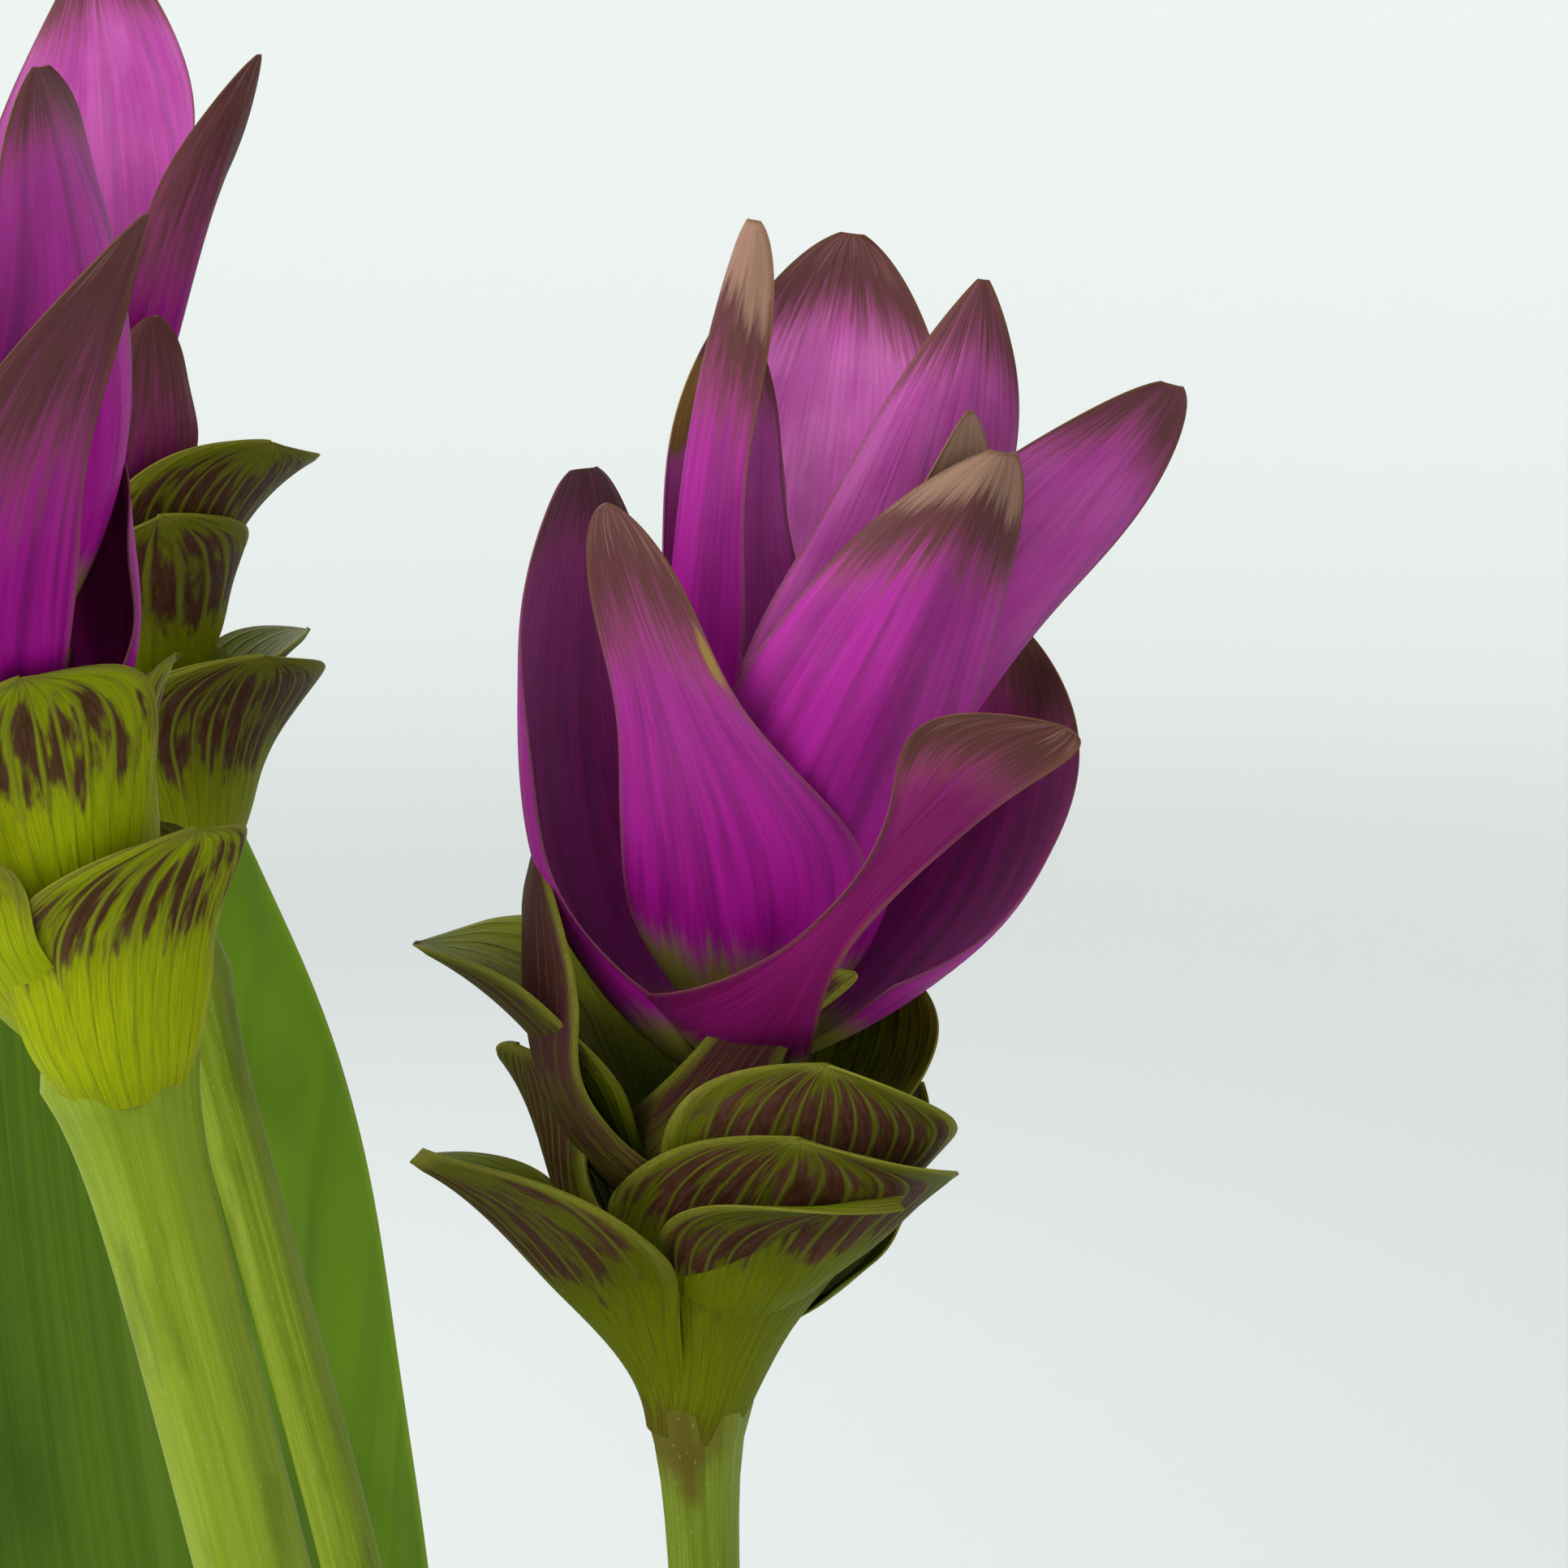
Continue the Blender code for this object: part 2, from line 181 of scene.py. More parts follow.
def lattice_mesh(name: str, places: np.ndarray, fields: dict[str, np.ndarray]) -> Object:
    """A grid primitive moved onto a lattice of points.

    Args:
        name: The object's name.
        places: Rows x columns x 3, in metres.
        fields: Numbers per point, each rows x columns, kept as attributes.

    Returns:
        The object, with the primitive's UV map.
    """
    rows, columns = places.shape[0] - 1, places.shape[1] - 1
    choose()
    bpy.ops.mesh.primitive_grid_add(x_subdivisions=columns, y_subdivisions=rows, size=1.0)
    obj = newest(name)
    flat = np.empty(len(obj.data.vertices) * 3, np.float32)
    obj.data.vertices.foreach_get("co", flat)
    flat = flat.reshape(-1, 3).astype(float)
    column = np.rint((flat[:, 0] + 0.5) * columns).astype(int)
    row = np.rint((flat[:, 1] + 0.5) * rows).astype(int)
    obj.data.vertices.foreach_set("co", places[row, column].astype(np.float32).ravel())
    for label, values in fields.items():
        set_float(obj, label, values[row, column])
    obj.data.update()
    return obj


def thicken(obj: Object, thickness: float, thin: float, soft: float) -> None:
    """Gives a sheet two faces and a thin margin, by its distances from the margin.

    Args:
        obj: The sheet.
        thickness: Thickness away from the margin, metres.
        thin: Thickness at the margin as a share of that.
        soft: Width over which the margin thins, millimetres.
    """
    count = len(obj.data.vertices)
    group = obj.vertex_groups.new(name="body")
    weight = np.rint(smooth(get_float(obj, "rim"), 0.0, soft) * WEIGHT_LEVELS).astype(int)
    for level in range(WEIGHT_LEVELS + 1):
        members = np.nonzero(weight == level)[0].tolist()
        if members:
            group.add(members, level / WEIGHT_LEVELS, "REPLACE")
    modifier = obj.modifiers.new("thickness", "SOLIDIFY")
    modifier.thickness = thickness
    modifier.offset = 0.0
    modifier.vertex_group = group.name
    modifier.thickness_vertex_group = thin
    choose(obj)
    bpy.ops.object.modifier_apply(modifier=modifier.name)
    inside = np.zeros(len(obj.data.vertices))
    inside[count:] = 1.0
    set_float(obj, "inside", inside)


def round_shading(obj: Object, angle: float) -> None:
    """Shades the object smooth but for edges sharper than the angle in degrees."""
    choose(obj)
    bpy.ops.object.shade_smooth_by_angle(angle=math.radians(angle))


def settle(obj: Object, slot: Slot, material: Material, *nodes: str, sharp: float = 50.0) -> None:
    """Shades and dresses a finished piece and ties it to the frame.

    Args:
        obj: The piece.
        slot: The record's material slot that it stands for, named only in the log.
        material: Its finish.
        nodes: The CAD nodes that it stands for.
        sharp: Edges sharper than this angle stay sharp, degrees.
    """
    round_shading(obj, sharp)
    obj.data.materials.clear()
    obj.data.materials.append(material)
    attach(obj, BODY)
    if nodes:
        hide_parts(*nodes)
    LOG.info("%s: %d faces, slot %s", obj.name, len(obj.data.polygons), slot.value)


# ------------------------------------------------------------------ finishes
class Recipe:
    """A material's node graph, put together in short steps."""

    def __init__(self, name: str) -> None:
        """Starts an empty graph with that material name."""
        self.material = bpy.data.materials.new(name)
        self.material.use_nodes = True
        self.nodes = self.material.node_tree.nodes
        self.nodes.clear()

    def put(self, socket: NodeSocket, value: object) -> None:
        """Links a socket to another, or sets it to a number or colour."""
        if isinstance(value, NodeSocket):
            self.material.node_tree.links.new(value, socket)
        elif isinstance(value, tuple) and socket.type == "RGBA":
            socket.default_value = (*value[:3], 1.0)
        else:
            socket.default_value = value

    def node(self, kind: str, **inputs: object) -> Node:
        """A new node with inputs set by name, with _ for a space.

        Args:
            kind: Its type, without the leading ShaderNode.
            inputs: Values or sockets.

        Returns:
            The node.
        """
        node = self.nodes.new(f"ShaderNode{kind}")
        for label, value in inputs.items():
            if value is not None:
                self.put(node.inputs[label.replace("_", " ")], value)
        return node

    def attributes(self, *names: str) -> tuple[NodeSocket, ...]:
        """The numbers stored on the mesh under those names."""
        return tuple(self.attribute(name) for name in names)

    def attribute(self, name: str) -> NodeSocket:
        """The number stored on the mesh under that name."""
        node = self.node("Attribute")
        node.attribute_name = name
        return node.outputs["Fac"]

    def place(self, scale: Point = (1.0, 1.0, 1.0)) -> NodeSocket:
        """Object coordinates in millimetres, stretched by scale."""
        source = self.node("TexCoord").outputs["Object"]
        return self.node("Mapping", Vector=source,
                         Scale=tuple(1000.0 * s for s in scale)).outputs["Vector"]

    def vector(self, x: object, y: object, z: object = 0.0) -> NodeSocket:
        """Three numbers as one vector."""
        return self.node("CombineXYZ", X=x, Y=y, Z=z).outputs[0]

    def maths(self, operation: str, a: object, b: object = 0.0) -> NodeSocket:
        """One step of arithmetic."""
        node = self.node("Math")
        node.operation = operation
        self.put(node.inputs[0], a)
        self.put(node.inputs[1], b)
        return node.outputs[0]

    def times(self, a: object, b: object) -> NodeSocket:
        """Product of a and b."""
        return self.maths("MULTIPLY", a, b)

    def plus(self, a: object, b: object) -> NodeSocket:
        """Sum of a and b."""
        return self.maths("ADD", a, b)

    def minus(self, a: object, b: object) -> NodeSocket:
        """What is left of a without b."""
        return self.maths("SUBTRACT", a, b)

    def swing(self, cloud: NodeSocket, share: float) -> NodeSocket:
        """How far a noise is from a half, times share."""
        return self.times(self.minus(cloud, 0.5), share)

    def noise(self, vector: NodeSocket, scale: float, detail: float = 2.0, roughness: float = 0.5,
              distortion: float = 0.0) -> NodeSocket:
        """Cloudy noise from about 0.3 to 0.7 round a half."""
        return self.node("TexNoise", Vector=vector, Scale=scale, Detail=detail,
                         Roughness=roughness, Distortion=distortion).outputs["Fac"]

    def fibres(self, lie: tuple[NodeSocket, ...], across: float, lengthwise: float, detail: float,
               roughness: float, distortion: float = 0.0) -> NodeSocket:
        """Noise that follows the veins.

        Args:
            lie: Place across the veins, along them and, if any, the piece's seed.
            across: Noise per millimetre across the veins.
            lengthwise: Noise per millimetre along them.
            detail: The noise's detail.
            roughness: The noise's roughness.
            distortion: The noise's distortion.

        Returns:
            The noise.
        """
        vector = self.vector(self.times(lie[0], across), self.times(lie[1], lengthwise), *lie[2:])
        return self.noise(vector, 1.0, detail, roughness, distortion)

    def cells(self, vector: NodeSocket, scale: float) -> NodeSocket:
        """Distance to the nearest of scattered points."""
        return self.node("TexVoronoi", Vector=vector, Scale=scale).outputs["Distance"]

    def step(self, value: object, low: float, high: float, start: float = 0.0,
             end: float = 1.0) -> NodeSocket:
        """Smooth step from start at low to end at high."""
        node = self.node("MapRange", Value=value, From_Min=low, From_Max=high, To_Min=start,
                         To_Max=end)
        node.interpolation_type = "SMOOTHSTEP"
        return node.outputs["Result"]

    def mix(self, share: object, a: object, b: object, blend: str = "MIX") -> NodeSocket:
        """Colour a with that share of colour b."""
        node = self.node("Mix")
        node.data_type = "RGBA"
        node.blend_type = blend
        node.clamp_factor = True
        sockets = {s.identifier: s for s in node.inputs}
        for label, value in (("Factor_Float", share), ("A_Color", a), ("B_Color", b)):
            self.put(sockets[label], value)
        return next(s for s in node.outputs if s.identifier == "Result_Color")

    def shaded(self, colour: object, shade: NodeSocket) -> NodeSocket:
        """The colour, made lighter or darker by shade."""
        return self.mix(1.0, colour, self.vector(shade, shade, shade), "MULTIPLY")

    def bumps(self, *layers: tuple[NodeSocket, float, float]) -> NodeSocket:
        """Surface relief in layers, each a height, a strength and a depth in millimetres."""
        normal = None
        for height, strength, depth in layers:
            normal = self.node("Bump", Strength=strength, Distance=depth * MM, Height=height,
                               Normal=normal).outputs["Normal"]
        return normal

    def surface(self, colour: object, roughness: object, normal: object = None,
                through_light: float = 0.0, **fixed: float) -> Material:
        """Ends the graph in a Principled surface.

        Args:
            colour: Base colour.
            roughness: Roughness.
            normal: Bumped normal, if any.
            through_light: Share of light that passes through the tissue.
            fixed: Other Principled inputs by name, with _ for a space.

        Returns:
            The material.
        """
        result = self.node("BsdfPrincipled", Base_Color=colour, Roughness=roughness,
                           Normal=normal, **fixed).outputs[0]
        if through_light:
            glow = self.node("BsdfTranslucent", Color=colour, Normal=normal).outputs[0]
            both = self.node("MixShader")
            for socket, value in zip(both.inputs, (through_light, result, glow)):
                self.put(socket, value)
            result = both.outputs[0]
        self.node("OutputMaterial", Surface=result)
        return self.material


@dataclass(frozen=True)
class ComaFinish:
    """Pink coma bracts: fine lengthwise veins, browned tips, green feet."""

    magenta: Colour = (0.4, 0.004, 0.29)
    deep: Colour = (0.25, 0.001, 0.18)
    pale: Colour = (0.58, 0.15, 0.45)
    maroon: Colour = (0.165, 0.003, 0.055)
    foot: Colour = (0.23, 0.2, 0.03)
    brown: Colour = (0.105, 0.04, 0.028)
    dry: Colour = (0.4, 0.24, 0.16)
    dusty: Colour = (0.27, 0.06, 0.11)
    margin: Colour = (0.16, 0.075, 0.03)
    scar: Colour = (0.3, 0.19, 0.05)

    def material(self) -> Material:
        """Returns the finish as a material."""
        g = Recipe("coma_bract")
        lie = g.attributes("vein", "along", "seed")
        fine = g.fibres(lie, 2.3, 0.07, 3.0, 0.6)
        broad = g.fibres(lie, 0.42, 0.035, 2.0, 0.5, 0.3)
        cloud = g.fibres(lie, 0.16, 0.1, 3.0, 0.55)
        streak = g.fibres(lie, 1.1, 0.11, 4.0, 0.65)
        skin = g.noise(g.place(), 4.0, 3.0, 0.6)
        colour = g.mix(g.step(broad, 0.4, 0.66), self.magenta, self.deep)
        bloom = g.times(g.attribute("pale"), g.step(cloud, 0.25, 0.72, 0.65, 1.25))
        colour = g.mix(bloom, colour, self.pale)
        blush = g.times(g.attribute("maroon"), g.step(streak, 0.25, 0.6, 0.75, 1.05))
        colour = g.mix(blush, colour, self.maroon)
        foot = g.plus(g.attribute("foot"), g.swing(streak, 0.7))
        colour = g.mix(g.step(foot, 0.3, 0.85), colour, self.foot)
        dried, edge = g.attribute("brown"), g.swing(streak, 1.1)
        for uneven, low, high, share, tone in ((edge, 0.18, 0.62, 0.62, self.dusty),
                                               (edge, 0.42, 0.92, 0.9, self.brown),
                                               (g.times(edge, 0.5), 0.98, 1.14, 0.7, self.dry)):
            colour = g.mix(g.times(g.step(g.plus(dried, uneven), low, high), share), colour, tone)
        hem = g.times(g.step(g.attribute("rim"), 0.1, 0.55, 1.0, 0.0), g.attribute("hem"))
        colour = g.mix(g.times(hem, g.step(skin, 0.35, 0.6, 0.5, 1.0)), colour, self.margin)
        scar = g.plus(g.attribute("scar"), g.swing(streak, 0.9))
        colour = g.mix(g.step(scar, 0.35, 0.75), colour, self.scar)
        colour = g.shaded(colour, g.step(fine, 0.3, 0.7, 0.88, 1.1))
        relief = g.bumps((fine, 0.4, 0.12), (broad, 0.5, 0.4), (skin, 0.35, 0.06))
        return g.surface(colour, g.step(skin, 0.3, 0.7, 0.46, 0.66), relief, 0.28,
                         Specular_IOR_Level=0.1, Sheen_Weight=0.02, Sheen_Roughness=0.4)


@dataclass(frozen=True)
class PouchFinish:
    """Green pouch bracts: brown-purple blotches between pale veins, lime margins, painted shade
    deep inside and painted light on brightly lit spikes.
    """

    lime: Colour = (0.14, 0.165, 0.001)
    # painted light: the lighter lime of a brightly lit spike
    painted_sunlit: Colour = (0.33, 0.39, 0.002)
    olive: Colour = (0.085, 0.092, 0.002)
    blotch: Colour = (0.05, 0.013, 0.008)
    purple: Colour = (0.075, 0.026, 0.02)
    vein: Colour = (0.125, 0.115, 0.02)
    margin: Colour = (0.185, 0.18, 0.02)
    inner: Colour = (0.15, 0.185, 0.003)
    # painted shade: dark green for the bottom of the pouch's inside, where shade falls
    depth: Colour = (0.03, 0.042, 0.001)
    maroon: Colour = (0.07, 0.015, 0.022)
    stain: Colour = (0.1, 0.068, 0.006)
    vein_gap: float = 3.5

    def material(self) -> Material:
        """Returns the finish as a material."""
        g = Recipe("pouch_bract")
        lie = g.attributes("vein", "along", "seed")
        inside, height, bright = g.attributes("inside", "height", "bright")
        curved = g.times(lie[0], g.step(height, 0.15, 1.0, 1.0, 0.78))
        shifted = g.plus(curved, g.times(g.fibres(lie, 0.13, 0.08, 2.0, 0.5), 3.2))
        off_vein = g.step(g.maths("PINGPONG", shifted, self.vein_gap / 2), 0.02, 0.62)
        on_vein = g.minus(1.0, off_vein)
        patch = g.fibres(lie, 0.3, 0.16, 3.0, 0.55)
        mottle = g.fibres(lie, 0.9, 0.55, 3.0, 0.6)
        fine = g.fibres(lie, 2.2, 0.25, 3.0, 0.6)
        skin = g.noise(g.place(), 3.2, 4.0, 0.6)
        stain = g.plus(g.attribute("blotch"), g.plus(g.swing(patch, 1.7), g.swing(mottle, 0.5)))
        # painted light: bright says how strongly the spike is lit; a lit spike is painted a lighter
        # lime, with less olive, fewer blotches and less stain at the foot
        lime = g.mix(bright, self.lime, self.painted_sunlit)
        dull = g.minus(1.0, g.times(bright, 0.75))
        green = g.mix(g.times(g.step(height, 0.25, 0.75), dull), lime, self.olive)
        green = g.mix(g.step(patch, 0.42, 0.66, 0.0, 0.45), green, lime)
        dark = g.mix(g.step(mottle, 0.38, 0.64), self.blotch, self.purple)
        cell = g.step(g.minus(stain, g.times(bright, 0.14)), 0.3, 0.66)
        outer = g.mix(g.times(cell, g.times(off_vein, 0.96)), green, dark)
        pale = g.times(on_vein, g.step(stain, 0.2, 0.5, 0.08, 0.42))
        outer = g.mix(pale, outer, self.vein)
        blush = g.times(g.attribute("maroon"), g.step(patch, 0.3, 0.62, 0.6, 1.1))
        outer = g.mix(blush, outer, self.maroon)
        low = g.plus(g.step(height, 0.02, 0.24, 1.0, 0.0), g.swing(patch, 1.3))
        low = g.times(g.step(low, 0.45, 1.05, 0.0, 0.75), g.minus(1.0, bright))
        outer = g.mix(low, outer, self.stain)
        # painted shade: the inner face darkens towards the pouch's bottom, over its own inner
        # green, blotches and veins
        inner_colour_and_painted_shade = g.mix(g.step(height, 0.15, 0.7), self.depth, self.inner)
        inner_colour_and_painted_shade = g.mix(g.times(g.step(stain, 0.6, 0.95), 0.55), inner_colour_and_painted_shade, self.blotch)
        inner_colour_and_painted_shade = g.mix(g.times(on_vein, 0.3), inner_colour_and_painted_shade, self.vein)
        colour = g.mix(inside, outer, inner_colour_and_painted_shade)
        hem = g.times(g.step(g.attribute("rim"), 0.2, 1.4, 1.0, 0.0), g.step(height, 0.35, 0.62))
        colour = g.mix(g.times(hem, g.step(skin, 0.3, 0.6, 0.6, 1.0)), colour, self.margin)
        colour = g.shaded(colour, g.step(fine, 0.3, 0.7, 0.86, 1.14))
        relief = g.bumps((on_vein, 0.45, 0.3), (fine, 0.45, 0.12), (patch, 0.5, 0.5),
                         (skin, 0.3, 0.08))
        return g.surface(colour, g.step(skin, 0.3, 0.7, 0.42, 0.6), relief, 0.16,
                         Specular_IOR_Level=0.05)


@dataclass(frozen=True)
class ScapeFinish:
    """Scapes: ridged green with pale flecks and a brown stain below the spike, painted lighter,
    with less stain, on a brightly lit spike.
    """

    green: Colour = (0.115, 0.165, 0.004)
    light: Colour = (0.175, 0.225, 0.018)
    # painted light: the lighter green of a brightly lit scape
    painted_sunlit: Colour = (0.235, 0.335, 0.012)
    shade: Colour = (0.07, 0.105, 0.002)
    stain: Colour = (0.095, 0.06, 0.005)
    fleck: Colour = (0.26, 0.29, 0.07)

    def material(self) -> Material:
        """Returns the finish as a material."""
        g = Recipe("scape")
        lie = g.attributes("vein", "along")
        lines = g.fibres(lie, 1.9, 0.035, 3.0, 0.6)
        cloud = g.fibres(lie, 0.3, 0.07, 3.0, 0.55)
        flecks = g.cells(g.place((1.0, 1.0, 0.45)), 1.3)
        skin = g.noise(g.place(), 3.0, 4.0, 0.6)
        colour = g.mix(g.step(lines, 0.35, 0.66), self.green, self.light)
        # painted light: a brightly lit scape is painted lighter
        colour = g.mix(g.times(g.attribute("bright"), 0.35), colour, self.painted_sunlit)
        colour = g.mix(g.step(cloud, 0.5, 0.74, 0.0, 0.55), colour, self.shade)
        stain = g.plus(g.attribute("stain"), g.swing(cloud, 1.4))
        colour = g.mix(g.step(stain, 0.38, 0.95, 0.0, 0.85), colour, self.stain)
        colour = g.mix(g.step(flecks, 0.05, 0.17, 0.55, 0.0), colour, self.fleck)
        relief = g.bumps((lines, 0.6, 0.22), (skin, 0.35, 0.1))
        return g.surface(colour, g.step(skin, 0.3, 0.7, 0.4, 0.58), relief, 0.0,
                         Specular_IOR_Level=0.12, Subsurface_Weight=0.12,
                         Subsurface_Scale=0.002)


@dataclass(frozen=True)
class LeafFinish:
    """Leaves: bright yellow-green, a pale midrib and close parallel veins."""

    green: Colour = (0.125, 0.245, 0.001)
    bright: Colour = (0.185, 0.33, 0.003)
    dark: Colour = (0.042, 0.1, 0.001)
    rib: Colour = (0.22, 0.33, 0.03)
    under: Colour = (0.12, 0.22, 0.02)
    tip: Colour = (0.22, 0.17, 0.03)

    def material(self) -> Material:
        """Returns the finish as a material."""
        g = Recipe("leaf")
        lie = g.attributes("side_vein", "along", "seed")
        bands = g.fibres(lie, 0.33, 0.004, 2.0, 0.5)
        lines = g.fibres(lie, 1.6, 0.01, 3.0, 0.6)
        cloud = g.noise(g.place((1.0, 1.0, 0.6)), 0.05, 3.0, 0.5)
        skin = g.noise(g.place(), 2.4, 3.0, 0.6)
        colour = g.mix(g.step(bands, 0.36, 0.66), self.green, self.bright)
        colour = g.mix(g.step(cloud, 0.42, 0.68, 0.0, 0.6), colour, self.dark)
        colour = g.mix(g.step(lines, 0.5, 0.72, 0.0, 0.45), colour, self.dark)
        off_rib = g.maths("ABSOLUTE", g.attribute("vein"))
        colour = g.mix(g.step(off_rib, 0.5, 1.5, 0.75, 0.0), colour, self.rib)
        colour = g.mix(g.times(g.attribute("inside"), 0.45), colour, self.under)
        tip = g.plus(g.attribute("brown"), g.times(lines, 0.3))
        colour = g.mix(g.step(tip, 0.55, 1.0), colour, self.tip)
        colour = g.mix(g.step(g.attribute("rim"), 0.2, 0.9, 0.5, 0.0), colour, self.rib)
        relief = g.bumps((bands, 0.6, 0.8), (lines, 0.5, 0.25), (skin, 0.3, 0.05))
        return g.surface(colour, g.step(skin, 0.3, 0.7, 0.34, 0.5), relief, 0.28,
                         Specular_IOR_Level=0.12, Coat_Weight=0.02, Coat_Roughness=0.3)


@dataclass(frozen=True)
class PotFinish:
    """Plain moulded plastic, lightly scuffed, with a little dried soil."""

    plastic: Colour = (0.05, 0.047, 0.045)
    worn: Colour = (0.085, 0.08, 0.075)
    dust: Colour = (0.16, 0.12, 0.085)

    def material(self) -> Material:
        """Returns the finish as a material."""
        g = Recipe("pot_plastic")
        grain = g.noise(g.place(), 2.2, 4.0, 0.6)
        scuffs = g.noise(g.place((0.25, 0.25, 1.6)), 0.3, 4.0, 0.65)
        dust = g.noise(g.place(), 0.06, 5.0, 0.6)
        colour = g.mix(g.step(scuffs, 0.52, 0.74), self.plastic, self.worn)
        colour = g.mix(g.step(dust, 0.54, 0.78, 0.0, 0.55), colour, self.dust)
        relief = g.bumps((grain, 0.35, 0.08), (scuffs, 0.25, 0.1))
        return g.surface(colour, g.step(scuffs, 0.35, 0.7, 0.42, 0.62), relief, 0.0,
                         Specular_IOR_Level=0.45)


@dataclass(frozen=True)
class MixFinish:
    """Potting mix and what lies in it: peat, bark and pale grains."""

    name: str
    first: Colour
    second: Colour
    third: Colour
    grain: float
    roughness: float = 0.92

    def material(self) -> Material:
        """Returns the finish as a material."""
        g = Recipe(self.name)
        coarse = g.noise(g.place(), self.grain, 4.0, 0.65)
        fine = g.noise(g.place(), self.grain * 5, 4.0, 0.7)
        specks = g.cells(g.place(), self.grain * 3)
        colour = g.mix(g.step(coarse, 0.36, 0.64), self.first, self.second)
        colour = g.mix(g.step(specks, 0.1, 0.3, 0.8, 0.0), colour, self.third)
        colour = g.shaded(colour, g.step(fine, 0.3, 0.7, 0.72, 1.2))
        return g.surface(colour, self.roughness, g.bumps((coarse, 0.8, 1.0), (fine, 0.7, 0.35)))


# ------------------------------------------------------------------ scapes
@dataclass
class Scape:
    """A flower stem: its route, the flare below the spike and the spike's line.

    Route points are x, y and height above the soil's edge, in metres, ending where
    the spike starts; the stem goes on inside the spike.
    """

    letter: str
    route: tuple[Point, ...]
    radius: float
    axis: Point
    spike_length: float
    flare: float = 0.0019
    flare_reach: float = 0.0055
    ridges: int = 7
    ridge_depth: float = 0.03
    soil_top: float = 0.106
    foot_depth: float = 0.0217
    foot_swell: float = 1.12
    tip_share: float = 0.45
    stain_drop: float = 0.003
    stain_reach: float = 0.007
    # painted light: how strongly this spike is lit, painted into its scape and pouches as lighter
    # colour with less stain and fewer blotches
    bright: float = 0.0
    sides: int = 56
    steps: int = 16
    spike_steps: int = 12
    line: list[Vector] = field(default_factory=list)

    def __post_init__(self) -> None:
        """Works out the spike's frame and the smooth line of the stem."""
        foot = self.route[0]
        points = [Vector((foot[0], foot[1], self.soil_top - self.foot_depth)),
                  Vector((foot[0], foot[1], self.soil_top + 0.003))]
        points += [Vector((x, y, self.soil_top + z)) for x, y, z in self.route[1:]]
        self.base = points[-1]
        self.up = Vector(self.axis).normalized()
        self.side = Vector((0, 1, 0)).cross(self.up).normalized()
        self.away = self.up.cross(self.side).normalized()
        ends = [points[0] * 2 - points[1], *points, points[-1] * 2 - points[-2]]
        for corners in zip(ends, ends[1:], ends[2:], ends[3:]):
            self.line += [spline(corners, i / self.steps) for i in range(self.steps)]
        self.line.append(points[-1])

    def spike_radius(self, height: float) -> float:
        """Radius at that height from the spike's base, negative below it, metres."""
        if height < 0:
            return self.radius + self.flare * math.exp(height / self.flare_reach)
        share = min(1.0, height / self.spike_length)
        inside = self.radius * (1.0 + (self.tip_share - 1.0) * share)
        return inside + self.flare * math.exp(-height / (0.8 * self.flare_reach))

    def at_height(self, height: float) -> Vector:
        """The point of the stem's line at that height above the floor."""
        for low, high in zip(self.line, self.line[1:]):
            if high.z >= height:
                return low.lerp(high, (height - low.z) / (high.z - low.z))
        return self.line[-1].copy()

    def build(self, material: Material) -> None:
        """Makes the ridged stem and ties it to its CAD node."""
        spots = list(self.line)
        rise = [self.radius * (1 + (self.foot_swell - 1) * max(0.0, 1 - i / (2 * self.steps)))
                for i in range(len(spots))]
        reach = [(point - self.base).length for point in spots]
        rise = [r + self.flare * math.exp(-d / self.flare_reach) for r, d in zip(rise, reach)]
        heights = [-d for d in reach]
        for i in range(1, self.spike_steps + 1):
            height = self.spike_length * i / self.spike_steps
            spots.append(self.base + self.up * height)
            rise.append(self.spike_radius(height))
            heights.append(height)
        turns = np.linspace(0.0, math.tau, self.sides + 1)
        turns[-1] = 0.0
        rows, rings, stain, length = [], [], [], 0.0
        for i, (spot, radius) in enumerate(zip(spots, rise)):
            before, after = spots[max(0, i - 1)], spots[min(len(spots) - 1, i + 1)]
            ahead = (after - before).normalized()
            side = Vector((0, 1, 0)).cross(ahead).normalized()
            away = ahead.cross(side)
            length += (spot - before).length if i else 0.0
            ridge = 1 + self.ridge_depth * (np.cos(turns * self.ridges)
                                            + 0.5 * np.cos(turns * (self.ridges - 3) + 1.7))
            ring = (np.array(spot) + np.outer(np.cos(turns) * ridge, side) * radius
                    + np.outer(np.sin(turns) * ridge, away) * radius)
            rows.append(ring)
            rings.append(length)
            near = math.exp(-((heights[i] + self.stain_drop) / self.stain_reach) ** 2)
            stain.append(0.95 * near * (0.55 + 0.45 * np.cos(turns + 1.9)))
        first, last = (np.tile(np.array(end), (self.sides + 1, 1)) for end in (spots[0], spots[-1]))
        rows = [first, *rows, last]
        rings = [rings[0], *rings, rings[-1]]
        stain = [stain[0], *stain, stain[-1]]
        around = np.tile(np.linspace(0, 1, self.sides + 1), (len(rows), 1))
        obj = lattice_mesh(f"scape_{self.letter}_stem", np.array(rows), {
            "vein": around * math.tau * self.radius / MM,
            "along": np.tile(np.array(rings)[:, None] / MM, (1, self.sides + 1)),
            # painted light: a brightly lit scape is painted with less stain
            "stain": np.array(stain) * (1 - self.bright),
            "bright": np.full_like(around, self.bright),
        })
        choose(obj)
        edit_all()
        bpy.ops.mesh.remove_doubles(threshold=SEAM)
        finish_edit()
        settle(obj, Slot.STEM, material, f"scape_{self.letter}")


# ------------------------------------------------------------------ bracts
@dataclass(frozen=True)
class Dress:
    """How a bract is coloured; each number is a share from 0 to 1."""

    brown: float = 0.85
    brown_reach: float = 0.1
    pale: float = 0.0
    pale_tip: float = 0.3
    pale_inside: float = 0.35
    maroon: float = 0.0
    maroon_inside: float = 0.0
    foot: float = 0.16
    hem: float = 0.7
    blotch: float = 0.72
    blotch_low: float = 0.38
    scars: tuple[tuple[float, float, float, float], ...] = ()


